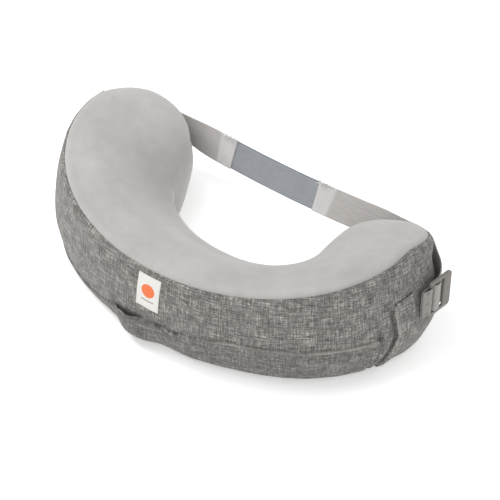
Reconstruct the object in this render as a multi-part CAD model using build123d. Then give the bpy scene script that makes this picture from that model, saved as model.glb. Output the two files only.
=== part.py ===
from build123d import *
import os
import math
import numpy as np

os.makedirs("parts", exist_ok=True)

# ---------------------------------------------------------------- dimensions
# All lengths in millimetres.  +Z up, the flat base stands on Z = 0, the
# crescent opens towards +Y and is mirrored about X = 0.
SPINE_HALF = 217.66      # half span of the crescent's centre line
SPINE_DEPTH = 145.80     # how far the lobes' centres lie behind the middle
SPINE_TURN = 1.5400      # turn of the centre line from middle to lobe, radians
HALF_W_MID = 81.47       # half width of the section at the middle
HALF_W_END = 87.33       # half width of the section at the lobes
WIDTH_POWER = 1.605
HEIGHT_MID = 139.50      # height at the middle
HEIGHT_Q2 = 48.94        # growth of the height towards the lobes
HEIGHT_Q4 = -17.24
CAP_STRETCH = 1.1000     # how far the round lobe end reaches past the centre
# section, as fractions of half width (U) and height (Z)
BASE_OUT = 0.820        # outer foot of the wall
BULGE_Z0, BULGE_Z2 = 0.306, 0.036
SEAM_U0, SEAM_U2 = 0.907, -0.250
SEAM_Z0, SEAM_Z2 = 0.970, 0.032
CROWN_U0, CROWN_U2 = 0.216, 0.137
TOP_MIX = 0.701
TOP_Z = 0.989
IN_U0, IN_U2 = 0.642, 0.200
IN_Z0, IN_Z2 = 0.608, 0.118
IN_BULGE_Z = 0.427
BASE_IN = 0.805

BASE_T = 2.0             # doubled base fabric
COVER_T = 2.0            # cover fabric with its backing
FOAM_GAP = 2.3           # foam surface below the outer surface
SIDE_END = 0.85          # tweed wall ends at this part of the lobe's half turn

BAND_T0, BAND_T1 = 0.5, 2.5      # belt band, inner and outer offset
WING_T0, WING_T1 = 0.5, 3.0      # belt wings
LABEL_W, LABEL_Z0, LABEL_Z1 = 30.0, 74.0, 129.0
LABEL_X = 11.5           # label centre, to the right of the middle

WEB_W = 46.0             # webbing width
WEB_T = 1.5
ELASTIC_T = 1.5
STRAP_GAP = 1.2          # strap stands this far off the lobes
STRAP_Z_BACK = 88.5      # strap centre height behind the lobes
STRAP_TILT = 8.0         # the strap is worn in: right end higher, left end lower
STRAP_SAG = 13.0
STRAP_LEAN = 22.0        # the free span leans back at its top edge, degrees
LOCK_Z = 97.0            # centre height of the ladder locks
JOIN_L = (-136.0, -109.0)   # left overlap of webbing and elastic, X
JOIN_R = (43.0, 70.0)       # right overlap

LOCK_X, LOCK_Y = 308.5, 153.0      # anchor bar axis of the right lock
BAR_R = 1.8
LOCK_OUT_W = 61.0
LOCK_IN_W = 50.0

ZIP_R = 309.6            # zipper arc radius, centre on the Y axis
ZIP_YC = 309.6
ZIP_HALF = 35.2          # half angle of the chain, degrees
ZIP_TRAVEL = 34.0        # slider travel each side of the middle, degrees

Y_ORIGIN = 86.95         # row origin behind the middle of the crescent

# ------------------------------------------------------------ the skin shape
M = 3                    # divisions of one span of the section


def spine(t):
    th = SPINE_TURN * t
    kx = SPINE_HALF / math.sin(min(SPINE_TURN, math.pi / 2))
    ky = SPINE_DEPTH / (1 - math.cos(SPINE_TURN))
    x, y = kx * math.sin(th), ky * (1 - math.cos(th))
    tx, ty = kx * math.cos(th), ky * math.sin(th)
    n = math.hypot(tx, ty)
    return x, y, tx / n, ty / n


def catmull(cp, m):
    cp = np.array(cp, float)
    a = np.vstack([2 * cp[0] - cp[1], cp, 2 * cp[-1] - cp[-2]])
    out = []
    for i in range(len(cp) - 1):
        p0, p1, p2, p3 = a[i:i + 4]
        d = lambda p, q: max(np.linalg.norm(q - p), 1e-6) ** 0.5
        t01, t12, t23 = d(p0, p1), d(p1, p2), d(p2, p3)
        m1 = p2 - p1 + t12 * ((p1 - p0) / t01 - (p2 - p0) / (t01 + t12))
        m2 = p2 - p1 + t12 * ((p3 - p2) / t23 - (p3 - p1) / (t12 + t23))
        A, B = 2 * (p1 - p2) + m1 + m2, -3 * (p1 - p2) - 2 * m1 - m2
        for u in np.linspace(0, 1, m, endpoint=False):
            out.append(A * u ** 3 + B * u ** 2 + m1 * u + p1)
    out.append(cp[-1])
    return np.array(out)


def section(t, m=M):
    """Outer and inner half of the section at t, base to crown, as (u, z)."""
    q = t * t
    w = HALF_W_MID + (HALF_W_END - HALF_W_MID) * abs(t) ** WIDTH_POWER
    h = HEIGHT_MID + HEIGHT_Q2 * q + HEIGHT_Q4 * q * q
    c = CROWN_U0 + CROWN_U2 * q
    su, sz = SEAM_U0 + SEAM_U2 * q, SEAM_Z0 + SEAM_Z2 * q
    tu, tz = c + (su - c) * TOP_MIX, max(TOP_Z, sz + 0.02)
    cp = [(BASE_OUT, 0), (1, BULGE_Z0 + BULGE_Z2 * q), (su, sz), (tu, tz),
          (c, 1), (-(IN_U0 + IN_U2 * q), IN_Z0 + IN_Z2 * q),
          (-1, IN_BULGE_Z), (-BASE_IN, 0)]
    pr = catmull(np.array(cp) * [w, h], m)
    outer, inner = pr[:4 * m + 1], pr[4 * m:][::-1]
    k = np.arange(3 * m + 1)
    kk = np.linspace(0, 3 * m, 4 * m + 1)
    inner = np.stack([np.interp(kk, k, inner[:, i]) for i in (0, 1)], -1)
    return outer, inner, c * w


def column(s, m=M):
    """Points base to crown.  s in [-1, 1] is the outer wall, 1..2 the right
    lobe's end from outside to inside, -1..-2 the left lobe's."""
    if abs(s) <= 1:
        x, y, tx, ty = spine(s)
        o, _, _ = section(s, m)
        return np.array([[x + ty * u, y - tx * u, z] for u, z in o])
    sg = 1.0 if s > 0 else -1.0
    psi = (abs(s) - 1) * math.pi
    x, y, tx, ty = spine(sg)
    nx, ny = ty, -tx
    o, i, cu = section(1.0, m)
    be = (1 - math.cos(psi)) / 2
    r = (o[:, 0] - cu) * (1 - be) + (cu - i[:, 0]) * be
    z = o[:, 1] * (1 - be) + i[:, 1] * be
    dx = math.cos(psi) * nx + math.sin(psi) * CAP_STRETCH * sg * tx
    dy = math.cos(psi) * ny + math.sin(psi) * CAP_STRETCH * sg * ty
    return np.stack([x + nx * cu + dx * r, y + ny * cu + dy * r, z], -1)


def inner_column(t, m=M):
    x, y, tx, ty = spine(t)
    _, i, _ = section(t, m)
    return np.array([[x + ty * u, y - tx * u, z] for u, z in i])


def wall(s, z, off=0.0):
    """Point of the outer wall at height z, moved outwards by off."""
    def at(ss, zz):
        c = column(ss, 8)[:21]
        return np.array([np.interp(zz, c[:, 2], c[:, k]) for k in (0, 1, 2)])
    p = at(s, z)
    if not off:
        return p
    ds = at(s + 0.004, z) - at(s - 0.004, z)
    dz = at(s, z + 1.0) - at(s, max(z - 1.0, 0.1))
    n = np.cross(ds, dz)
    n /= np.linalg.norm(n)
    return p + n * off


N_T, N_CAP = 33, 10
TS = np.linspace(-1, 1, N_T)
cols = [column(t) for t in TS]
kinds = [("o", t) for t in TS]
for k in range(1, N_CAP):
    cols.append(column(1 + k / N_CAP)); kinds.append(("cr", k / N_CAP))
for t in TS[::-1]:
    cols.append(inner_column(t)); kinds.append(("i", t))
for k in range(N_CAP - 1, 0, -1):
    cols.append(column(-1 - k / N_CAP)); kinds.append(("cl", k / N_CAP))
GRID = np.array(cols)            # stations round the rim x levels base..crown
NS, NV = GRID.shape[:2]
soft = [k for k, (a, t) in enumerate(kinds)
        if (a == "i" and abs(t) > 0.80) or (a in ("cr", "cl") and t > 0.55)]
for _ in range(1):               # blend the inner wall into the lobe's end
    g = GRID.copy()
    for k in soft:
        near = (GRID[k - 1] + GRID[(k + 1) % NS]) / 2
        g[k, :-1] = 0.5 * GRID[k, :-1] + 0.5 * near[:-1]
    GRID = g
GRID[:, 0, 2] = BASE_T           # walls stand on the base panel
SEAM = 2 * M                     # level of the seam between wall and top


def weld(grid):
    ids, pts, key = np.zeros(grid.shape[:2], int), [], {}
    for i in range(grid.shape[0]):
        for j in range(grid.shape[1]):
            k = tuple(np.round(grid[i, j], 3))
            if k not in key:
                key[k] = len(pts)
                pts.append(grid[i, j])
            ids[i, j] = key[k]
    return ids, np.array(pts)


IDS, PTS = weld(GRID)


def cell_tris(i, j):
    a, b = IDS[i, j], IDS[(i + 1) % NS, j]
    c, d = IDS[(i + 1) % NS, j + 1], IDS[i, j + 1]
    return [t for t in ((a, b, c), (a, c, d)) if len(set(t)) == 3]


ALL = [t for i in range(NS) for j in range(NV - 1) for t in cell_tris(i, j)]
NRM = np.zeros_like(PTS)
for t in ALL:
    n = np.cross(PTS[t[1]] - PTS[t[0]], PTS[t[2]] - PTS[t[0]])
    for k in t:
        NRM[k] += n
NRM /= np.linalg.norm(NRM, axis=1)[:, None]
if np.dot(NRM[IDS[N_T // 2, 2]], [0, -1, 0]) < 0:
    NRM *= -1


def offset_pts(d, z_base):
    out = PTS - NRM * d
    for i in range(NS):
        k = IDS[i, 0]
        n = NRM[k].copy()
        n[2] = 0
        n /= np.linalg.norm(n)
        out[k] = PTS[k] - n * d
        out[k][2] = z_base
    return out


# ------------------------------------------------------------- solid helpers
def poly_face(pts):
    return Face(Wire.make_polygon([Vector(*map(float, p)) for p in pts], close=True))


def closed(faces):
    s = Solid(Shell(faces))
    if s.volume < 0:
        s = Solid(Shell([-f for f in faces]))
    return s


def tri_solid(pts, tris, extra=()):
    faces = [poly_face([pts[k] for k in t]) for t in tris]
    faces += list(extra)
    return closed(faces)


def thick_region(mask, d):
    """Sheet of thickness d under the skin, over the masked cells."""
    tris = [t for i in range(NS) for j in range(NV - 1) if mask[i, j]
            for t in cell_tris(i, j)]
    inn = offset_pts(d, BASE_T)
    edges = {}
    for t in tris:
        for a, b in ((t[0], t[1]), (t[1], t[2]), (t[2], t[0])):
            edges[(a, b)] = 1
    n = len(PTS)
    pts = np.vstack([PTS, inn])
    out = list(tris) + [(t[2] + n, t[1] + n, t[0] + n) for t in tris]
    for a, b in edges:
        if (b, a) not in edges:
            if a < b:        # same diagonal on both sides of a seam
                out += [(b, a, b + n), (a, a + n, b + n)]
            else:
                out += [(b, a, a + n), (b, a + n, b + n)]
    return tri_solid(pts, out)


def grid_solid(A, B):
    """Closed sheet between two matching point grids."""
    A, B = np.array(A), np.array(B)
    a, b = A.shape[:2]
    pts = np.vstack([A.reshape(-1, 3), B.reshape(-1, 3)])
    n = a * b
    I = lambda i, j: i * b + j
    tr = []
    for i in range(a - 1):
        for j in range(b - 1):
            p, q, r, s = I(i, j), I(i + 1, j), I(i + 1, j + 1), I(i, j + 1)
            tr += [(p, q, r), (p, r, s), (r + n, q + n, p + n), (s + n, r + n, p + n)]
    rim = [I(i, 0) for i in range(a)] + [I(a - 1, j) for j in range(1, b)]
    rim += [I(i, b - 1) for i in range(a - 2, -1, -1)] + [I(0, j) for j in range(b - 2, 0, -1)]
    for k in range(len(rim)):
        p, q = rim[k], rim[(k + 1) % len(rim)]
        tr += [(q, p, p + n), (q, p + n, q + n)]
    return tri_solid(pts, tr)


def patch(ss, zlo, zhi, nz, o0, o1):
    """Sheet lying on the outer wall between two heights."""
    A, B = [], []
    for s in ss:
        zs = np.linspace(zlo(s), zhi(s), nz)
        A.append([wall(s, z, o1) for z in zs])
        B.append([wall(s, z, o0) for z in zs])
    return grid_solid(A, B)


def ribbon(path, zc, width, thick):
    """Upright flat webbing along a plan path; zc is its centre height."""
    P = np.array(path, float)
    n = len(P)
    zc = np.broadcast_to(np.array(zc, float), (n,))
    A, B = [], []
    for i in range(n):
        a = P[i] - P[i - 1] if i else P[1] - P[0]
        b = P[i + 1] - P[i] if i < n - 1 else P[-1] - P[-2]
        a, b = a / np.linalg.norm(a), b / np.linalg.norm(b)
        m = a + b
        m /= np.linalg.norm(m)
        nn = np.array([m[1], -m[0]]) * thick / 2 / max(np.dot(m, a), 0.6)
        lo, hi = zc[i] - width / 2, zc[i] + width / 2
        A.append([(P[i][0] + nn[0], P[i][1] + nn[1], z) for z in (lo, hi)])
        B.append([(P[i][0] - nn[0], P[i][1] - nn[1], z) for z in (lo, hi)])
    return grid_solid(A, B)


def mir(s):
    return s.mirror(Plane.YZ)


def mir_path(p):
    return [(-x, y) for x, y in p]


NODES = {}


def put(name, shape):
    NODES[name] = shape


def group(items):
    return list(items)


# ------------------------------------------------------------- cover panels
def is_side(i):
    """Cells of the tweed wall: outer wall and both round lobe ends."""
    k0, v0 = kinds[i]
    k1, v1 = kinds[(i + 1) % NS]
    def ok(k, v):
        return k == "o" or (k in ("cr", "cl") and v <= SIDE_END + 1e-6)
    return ok(k0, v0) and ok(k1, v1)


mask = np.zeros((NS, NV - 1), bool)
for i in range(NS):
    if is_side(i):
        mask[i, :SEAM] = True
put("side_panel", thick_region(mask, COVER_T))
put("top_panel", thick_region(~mask, COVER_T))

# ---------------------------------------------------------------- base panel
outline = [(p[0], p[1]) for p in GRID[:, 0]]
base = extrude(make_face(Polyline(*outline, close=True)), BASE_T, dir=(0, 0, 1))


def arc_band(r0, r1, z0, z1, a0, a1):
    """Part ring about the zipper centre, angles from the -Y direction."""
    prof = make_face(Polyline((r0, 0, z0), (r1, 0, z0), (r1, 0, z1), (r0, 0, z1), close=True))
    return turned(prof, a0, a1)


def turned(face, a0, a1):
    f = face.rotate(Axis.Z, -90 + a0)
    s = revolve(f, axis=Axis.Z, revolution_arc=a1 - a0)
    return s.moved(Location((0, ZIP_YC, 0)))


slot = arc_band(ZIP_R - 9, ZIP_R + 9, -1, BASE_T + 1, -36.6, 40.0)
put("base_panel", base - slot)

# ----------------------------------------------------------------- foam core
foam_pts = offset_pts(FOAM_GAP, BASE_T + 0.2)
bottom = poly_face([foam_pts[IDS[i, 0]] for i in range(NS)][::-1])
foam = tri_solid(foam_pts, ALL, [bottom])
groove = arc_band(ZIP_R - 18, ZIP_R + 18, 0, 12, -37.6, 41.0)
put("foam_core", foam - groove)

# --------------------------------------------------------------- zipper
def zed(sign):
    """Tape section: foot on the base, upright gusset, flange to the coil."""
    g = lambda d: ZIP_R + sign * d
    pts = [(g(15.0), 2.0), (g(15.0), 2.8), (g(9.0), 2.8), (g(9.0), 5.8),
           (g(2.6), 5.8), (g(2.6), 5.0), (g(8.2), 5.0), (g(8.2), 2.0)]
    return make_face(Polyline(*[(r, 0, z) for r, z in pts], close=True))


put("zipper_tape_front", turned(zed(+1), -36.5, 39.9))
put("zipper_tape_rear", turned(zed(-1), -36.5, 39.9))
put("zipper_coil_front", arc_band(ZIP_R + 0.8, ZIP_R + 2.6, 4.2, 6.6, -ZIP_HALF, ZIP_HALF))
put("zipper_coil_rear", arc_band(ZIP_R - 2.6, ZIP_R - 0.8, 4.2, 6.6, -ZIP_HALF, ZIP_HALF))
put("zipper_stops", group([arc_band(ZIP_R - 2.6, ZIP_R + 2.6, 4.0, 6.8, a, a + 0.5)
                           for a in (-ZIP_HALF - 0.52, ZIP_HALF + 0.02)]))


def zip_place(shape, deg=-ZIP_TRAVEL):
    """Local frame: +X along the chain, +Y towards the arc centre."""
    a = math.radians(deg)
    x, y = ZIP_R * math.sin(a), ZIP_YC - ZIP_R * math.cos(a)
    return shape.moved(Location((x, y, 0), (0, 0, deg)))


def bx(x0, x1, y0, y1, z0, z1):
    return Box(x1 - x0, y1 - y0, z1 - z0).moved(
        Location(((x0 + x1) / 2, (y0 + y1) / 2, (z0 + z1) / 2)))


PIN_Z = 1.5
slider = bx(-5.5, 5.5, -4.2, 4.2, 3.0, 3.8) + bx(-5.5, 5.5, -4.2, 4.2, 7.0, 7.8)
slider = slider + bx(-4.5, -1.0, -0.4, 0.4, 3.8, 7.0)
for sy in (-1, 1):
    y0, y1 = sorted((sy * 3.4, sy * 4.2))
    slider = slider + bx(-5.5, 5.5, y0, y1, 3.8, 4.6) + bx(-5.5, 5.5, y0, y1, 6.2, 7.0)
    y0, y1 = sorted((sy * 2.1, sy * 2.9))
    slider = slider + bx(-1.2, 1.2, y0, y1, 0.7, 3.0)
slider = slider + Cylinder(0.45, 5.8).rotate(Axis.X, 90).moved(Location((0, 0, PIN_Z)))
put("zipper_slider", zip_place(slider))
pull = Cylinder(1.1, 3.4).rotate(Axis.X, 90).moved(Location((0, 0, PIN_Z)))
pull = pull + bx(0.6, 5.0, -1.7, 1.7, 0.7, 1.6) + bx(4.5, 24.0, -3.0, 3.0, 0.7, 1.6)
pull = pull - Cylinder(0.75, 8).rotate(Axis.X, 90).moved(Location((0, 0, PIN_Z)))
pull = pull - bx(16.5, 21.5, -1.2, 1.2, 0, 3)
put("zipper_pull", zip_place(pull))

# ------------------------------------------------------------ belt and wings
def band_top(s):
    if s < 0:                # the hem dips out of the way on the left
        u = min(max((-s - 0.05) / 0.20, 0), 1)
        return 50.0 - 24.0 * u * u * (3 - 2 * u)
    return 50.0 + 17.0 * min(s / 0.33, 1.0) ** 1.5 + 4.0 * max(s - 0.33, 0)


put("belt_band", patch(np.linspace(-0.80, 0.817, 34), lambda s: 2.2, band_top, 5,
                       BAND_T0, BAND_T1))


def wing_lo(s):
    u = min(max((abs(s) - 0.88) / 0.09, 0), 1)
    return 7.0 + 64.0 * u ** 1.5


def wing_hi(s):
    u = min(max((abs(s) - 0.88) / 0.09, 0), 1)
    return 114.0 + 5.0 * u


wing_s = np.linspace(0.88, 0.966, 8)
wing = patch(wing_s, wing_lo, wing_hi, 8, WING_T0, WING_T1)
put("right_wing", wing)
put("left_wing", mir(wing))

# -------------------------------------------------------------------- labels
half = LABEL_W / 2
ts = [(LABEL_X + x) / (SPINE_HALF * SPINE_TURN) for x in np.linspace(-half, half, 5)]
put("front_label", patch(ts, lambda s: LABEL_Z0, lambda s: LABEL_Z1, 6, 0.30, 1.05))
# sewn edge of the label: four thread runs
lab = []
for (sa, sb, za, zb) in ((-half + 1.6, half - 1.6, LABEL_Z1 - 2.4, LABEL_Z1 - 1.8),
                         (-half + 1.6, half - 1.6, LABEL_Z0 + 1.8, LABEL_Z0 + 2.4)):
    tt = [(LABEL_X + x) / (SPINE_HALF * SPINE_TURN) for x in np.linspace(sa, sb, 5)]
    lab.append(patch(tt, lambda s, a=za: a, lambda s, b=zb: b, 2, 1.25, 1.60))
for sx in (-1, 1):
    a, b = sorted((sx * (half - 1.4), sx * (half - 0.8)))
    tt = [(LABEL_X + x) / (SPINE_HALF * SPINE_TURN) for x in (a, b)]
    lab.append(patch(tt, lambda s: LABEL_Z0 + 3.2, lambda s: LABEL_Z1 - 3.2, 6, 1.25, 1.60))
put("front_label_thread", group(lab))

# ------------------------------------------------------------- strap, plan
def rim_plan(s):
    c = column(s, 8)[:21]
    o = column(s, 8)[-1][:2]
    k = np.argmax(np.linalg.norm(c[:, :2] - o, axis=1))
    return c[k][:2]


def rim_off(s, d):
    a, b = rim_plan(s - 0.01), rim_plan(s + 0.01)
    t = (b - a) / np.linalg.norm(b - a)
    return rim_plan(s) + np.array([t[1], -t[0]]) * d


off = STRAP_GAP + WEB_T / 2
fine = np.linspace(1.02, 1.9, 400)
rim = np.array([rim_off(a, off) for a in fine])
k_lead = int(np.argmax(rim[:, 1] > LOCK_Y + 38.5))
k_tan = int(np.argmax(rim[:, 1]))
S_LEAD, S_TAN = fine[k_lead], fine[k_tan]
X_TAN, Y_STRAP = float(rim[k_tan, 0]), float(rim[k_tan, 1])
arc = [rim_off(a, off) for a in np.linspace(S_LEAD, S_TAN, 12)]
arc_l = np.r_[0, np.cumsum([math.dist(arc[i], arc[i + 1]) for i in range(11)])]


def strap_z(x):
    """Centre height of the free span."""
    return STRAP_Z_BACK + STRAP_TILT * x / X_TAN - STRAP_SAG * (1 - (x / X_TAN) ** 2)


def lean(x):
    u = min(max((X_TAN - abs(x)) / 80.0, 0), 1)
    return math.radians(STRAP_LEAN) * u * u * (3 - 2 * u)


def strip(stations, width, thick, shift=0.0):
    """Webbing through (x, y, z, lean, nx, ny): n is the plan normal."""
    A, B = [], []
    for x, y, z, ln, nx, ny in stations:
        n = np.array([nx * math.cos(ln), ny * math.cos(ln), -math.sin(ln)])
        w = np.array([nx * math.sin(ln), ny * math.sin(ln), math.cos(ln)])
        c = np.array([x, y, z]) + n * shift
        A.append([c + n * thick / 2 + w * k for k in (-width / 2, 0, width / 2)])
        B.append([c - n * thick / 2 + w * k for k in (-width / 2, 0, width / 2)])
    return grid_solid(A, B)


def arc_stations(z_end):
    """Round the right lobe's end, from the lead to the tangent point."""
    u = arc_l / arc_l[-1]
    z = LOCK_Z - 0.5 + (z_end - LOCK_Z + 0.5) * (u * u * (3 - 2 * u))
    out = []
    for i in range(12):
        a = np.array(arc[max(i - 1, 0)])
        b = np.array(arc[min(i + 1, 11)])
        t = (b - a) / np.linalg.norm(b - a)
        if i == 11:
            t = np.array([-1.0, 0.0])
        out.append((arc[i][0], arc[i][1], z[i], 0.0, abs(t[1]), abs(t[0])))
    return out


arc_r = arc_stations(STRAP_Z_BACK + STRAP_TILT)
arc_lt = arc_stations(STRAP_Z_BACK - STRAP_TILT)


def span(xs):
    return [(x, Y_STRAP, strap_z(x), lean(x), 0.0, 1.0) for x in xs]


def mir_st(st):
    return [(-x, y, z, l, -nx, ny) for x, y, z, l, nx, ny in st]


OUT = np.array([205, 185, 165, 145.0])
xs_r = list(OUT) + [120, 95] + list(np.linspace(JOIN_R[1], JOIN_R[0], 4))
xs_l = [-v for v in OUT] + list(np.linspace(JOIN_L[0], JOIN_L[1], 4))
put("right_web", strip(arc_r + span(xs_r), WEB_W, WEB_T))
put("left_web", strip(mir_st(arc_lt) + span(xs_l), WEB_W, WEB_T))
xs_e = list(np.linspace(JOIN_L[0], JOIN_L[1], 4)) + [-85, -60, -35, -10, 15] + \
    list(np.linspace(JOIN_R[0], JOIN_R[1], 4))
EL = (WEB_T + ELASTIC_T) / 2 + 0.04
put("elastic_insert", strip(span(xs_e), WEB_W - 2.0, ELASTIC_T, EL))


def box_x(x0, x1, y0, y1, zc, h):
    """Sewn rectangle with crossed diagonals."""
    t = 0.8
    z0, z1 = zc - h / 2, zc + h / 2
    s = bx(x0, x1, y0, y1, z0, z0 + t) + bx(x0, x1, y0, y1, z1 - t, z1)
    s = s + bx(x0, x0 + t, y0, y1, z0, z1) + bx(x1 - t, x1, y0, y1, z0, z1)
    w, hh = x1 - x0 - 0.4, h - 0.4
    L, a = math.hypot(w, hh), math.degrees(math.atan2(hh, w))
    for sg in (-1, 1):
        d = Box(L - 0.6, y1 - y0, t).rotate(Axis.Y, sg * a)
        s = s + d.moved(Location(((x0 + x1) / 2, (y0 + y1) / 2, zc)))
    return s


for name, (a, b) in (("left_join_thread", JOIN_L), ("right_join_thread", JOIN_R)):
    xm = (a + b) / 2
    fall, ln = (strap_z(b) - strap_z(a)) / (b - a), math.radians(STRAP_LEAN)
    slope = math.degrees(math.atan(fall * math.cos(ln)))
    yaw = -math.degrees(math.atan(fall * math.sin(ln)))
    front, back = WEB_T / 2, EL + ELASTIC_T / 2
    both = []
    for y0, y1 in ((-front - 0.60, -front - 0.12), (back + 0.12, back + 0.60)):
        f = box_x(a + 3 - xm, b - 3 - xm, y0, y1, 0, WEB_W - 9)
        f = f.rotate(Axis.Y, -slope).rotate(Axis.X, -STRAP_LEAN)
        f = f.rotate(Axis((0, 0, 0), (0, math.sin(ln), math.cos(ln))), yaw)
        both.append(f.moved(Location((xm, Y_STRAP, strap_z(xm)))))
    put(name, group(both))

# ------------------------------------------------------ ladder locks, webs
LX, LY = LOCK_X, LOCK_Y


def lock():
    z0, z1 = LOCK_Z - LOCK_OUT_W / 2, LOCK_Z + LOCK_OUT_W / 2
    i0, i1 = LOCK_Z - LOCK_IN_W / 2, LOCK_Z + LOCK_IN_W / 2
    def arm(za, zb):
        prof = make_face(Polyline((LX - 1.8, LY - 2.4, za), (LX + 1.8, LY - 2.4, za),
                                  (LX + 2.6, LY + 14, za), (LX + 4.4, LY + 40, za),
                                  (LX + 1.2, LY + 40, za), (LX - 0.8, LY + 14, za), close=True))
        return extrude(prof, zb - za, dir=(0, 0, 1))
    s = arm(z0, i0) + arm(i1, z1)
    s = s + Cylinder(BAR_R, LOCK_OUT_W - 2).moved(Location((LX, LY, LOCK_Z)))
    mid = make_face(Polyline((LX - 0.4, LY + 10.0, i0 - 1), (LX + 2.2, LY + 10.0, i0 - 1),
                             (LX + 2.8, LY + 16.5, i0 - 1), (LX - 0.2, LY + 16.5, i0 - 1), close=True))
    s = s + extrude(mid, LOCK_IN_W + 2, dir=(0, 0, 1))
    lip = make_face(Polyline((LX + 0.6, LY + 27.0, i0 - 1), (LX + 3.5, LY + 27.0, i0 - 1),
                             (LX + 4.8, LY + 41.5, i0 - 1), (LX + 1.2, LY + 41.5, i0 - 1), close=True))
    s = s + extrude(lip, LOCK_IN_W + 2, dir=(0, 0, 1))
    lip2 = make_face(Polyline((LX + 1.2, LY + 38.0, z0), (LX + 4.4, LY + 38.0, z0),
                              (LX + 4.8, LY + 41.5, z0), (LX + 1.3, LY + 41.5, z0), close=True))
    s = s + extrude(lip2, LOCK_OUT_W, dir=(0, 0, 1))
    return s


put("right_ladder_lock", lock())
put("left_ladder_lock", mir(NODES["right_ladder_lock"]))


def arc_pts(cx, cy, r, a0, a1, n):
    return [(cx + r * math.cos(math.radians(a)), cy + r * math.sin(math.radians(a)))
            for a in np.linspace(a0, a1, n)]


AW_T = 1.2
AR = BAR_R + 0.5 + AW_T / 2
anchor_path = [(LX - 2.9, LY - 16.0), (LX - AR, LY - 5.0)] + \
    arc_pts(LX, LY, AR, 180, 0, 9) + [(LX + AR - 0.2, LY - 5.0), (LX - 0.8, LY - 16.0)]
anchor = ribbon(anchor_path, LOCK_Z, WEB_W, AW_T)
put("right_anchor_web", anchor)
put("left_anchor_web", mir(anchor))

wrap_path = [(LX - 3.0, LY + 19.0), (LX - 2.3, LY + 9.6), (LX - 0.6, LY + 7.4),
             (LX + 2.0, LY + 7.2), (LX + 3.5, LY + 9.2), (LX + 4.1, LY + 16.0),
             (LX + 3.2, LY + 18.6), (LX + 1.2, LY + 19.8), (LX - 0.6, LY + 21.6),
             (LX - 1.0, LY + 27.0), (LX + 0.2, LY + 42.0)]
wrap = ribbon(wrap_path, LOCK_Z, WEB_W - 0.5, 1.3)
put("right_web_wrap", wrap)
put("left_web_wrap", mir(wrap))

p0, p1 = np.array(arc[0]), np.array(arc[1])
d0 = (p0 - p1) / np.linalg.norm(p0 - p1)
lead_path = [tuple(p0 + d0 * 0.15), tuple(p0 + d0 * 3.0), (LX - 3.9, LY + 23.5),
             (LX - 3.05, LY + 19.6)]
lead = ribbon(lead_path, LOCK_Z, WEB_W - 0.2, WEB_T)
put("right_web_lead", lead)
put("left_web_lead", mir(lead))

# bar tacks that close the anchor webs on the wings
tacks = []
for dz in (-18.0, 0.0, 18.0):
    tacks.append(Box(0.5, 5.0, 1.6).rotate(Axis.Z, -17.6).moved(
        Location((LX + 2.60, LY - 8.6, LOCK_Z + dz))))
put("right_anchor_tacks", group(tacks))
put("left_anchor_tacks", group([mir(t) for t in tacks]))

# small blank tag held in the base seam inside the crescent
def inner_wall(t, z, off):
    def at(tt, zz):
        c = inner_column(tt, 8)[:24]
        return np.array([np.interp(zz, c[:, 2], c[:, k]) for k in (0, 1, 2)])
    ds = at(t + 0.004, z) - at(t - 0.004, z)
    dz = at(t, z + 1.0) - at(t, max(z - 1.0, 0.1))
    n = np.cross(dz, ds)
    return at(t, z) + n / np.linalg.norm(n) * off


tag_t = np.linspace(-0.30, -0.26, 3)
put("care_tag", grid_solid([[inner_wall(t, z, 1.2) for z in np.linspace(2.5, 38, 5)] for t in tag_t],
                           [[inner_wall(t, z, 0.5) for z in np.linspace(2.5, 38, 5)] for t in tag_t]))

# origin: middle of the footprint box, on the floor
for name, shape in NODES.items():
    to_row = Location((0, -Y_ORIGIN, 0))
    if isinstance(shape, list):
        shape = Compound([p.moved(to_row) for p in shape])
    else:
        shape = shape.moved(to_row)
    NODES[name] = shape
    export_step(shape, "parts/%s.step" % name)
print("lead", [tuple(np.round(p, 1)) for p in lead_path], "rim", [tuple(np.round(rim_off(a, off), 1)) for a in (1.0001, 1.05, 1.1, 1.15, 1.2, 1.3, 1.4, 1.5)])
bb = [NODES[n].bounding_box() for n in NODES]
print("box", [round(min(getattr(b.min, a) for b in bb), 3) for a in "XYZ"], [round(max(getattr(b.max, a) for b in bb), 3) for a in "XYZ"])
print("strap back y", round(Y_STRAP, 2), "tangent x", round(X_TAN, 2), "nodes", len(NODES))
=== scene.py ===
import math
import bpy
import bmesh
import numpy as np
from mathutils import Vector, Matrix


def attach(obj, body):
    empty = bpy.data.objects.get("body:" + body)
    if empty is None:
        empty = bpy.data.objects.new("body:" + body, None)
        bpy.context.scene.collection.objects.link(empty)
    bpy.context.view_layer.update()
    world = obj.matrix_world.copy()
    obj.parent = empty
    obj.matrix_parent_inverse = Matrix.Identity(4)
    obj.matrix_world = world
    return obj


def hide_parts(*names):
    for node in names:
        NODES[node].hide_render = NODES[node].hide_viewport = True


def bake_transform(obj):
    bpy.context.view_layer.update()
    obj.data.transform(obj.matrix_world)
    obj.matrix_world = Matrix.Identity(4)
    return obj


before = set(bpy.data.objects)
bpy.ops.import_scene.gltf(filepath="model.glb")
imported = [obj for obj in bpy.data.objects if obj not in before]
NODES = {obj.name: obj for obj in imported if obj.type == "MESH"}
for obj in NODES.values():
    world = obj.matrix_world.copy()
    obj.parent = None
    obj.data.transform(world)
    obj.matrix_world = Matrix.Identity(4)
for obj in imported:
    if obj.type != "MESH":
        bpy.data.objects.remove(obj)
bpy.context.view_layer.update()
RNG = np.random.default_rng(7)

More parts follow.
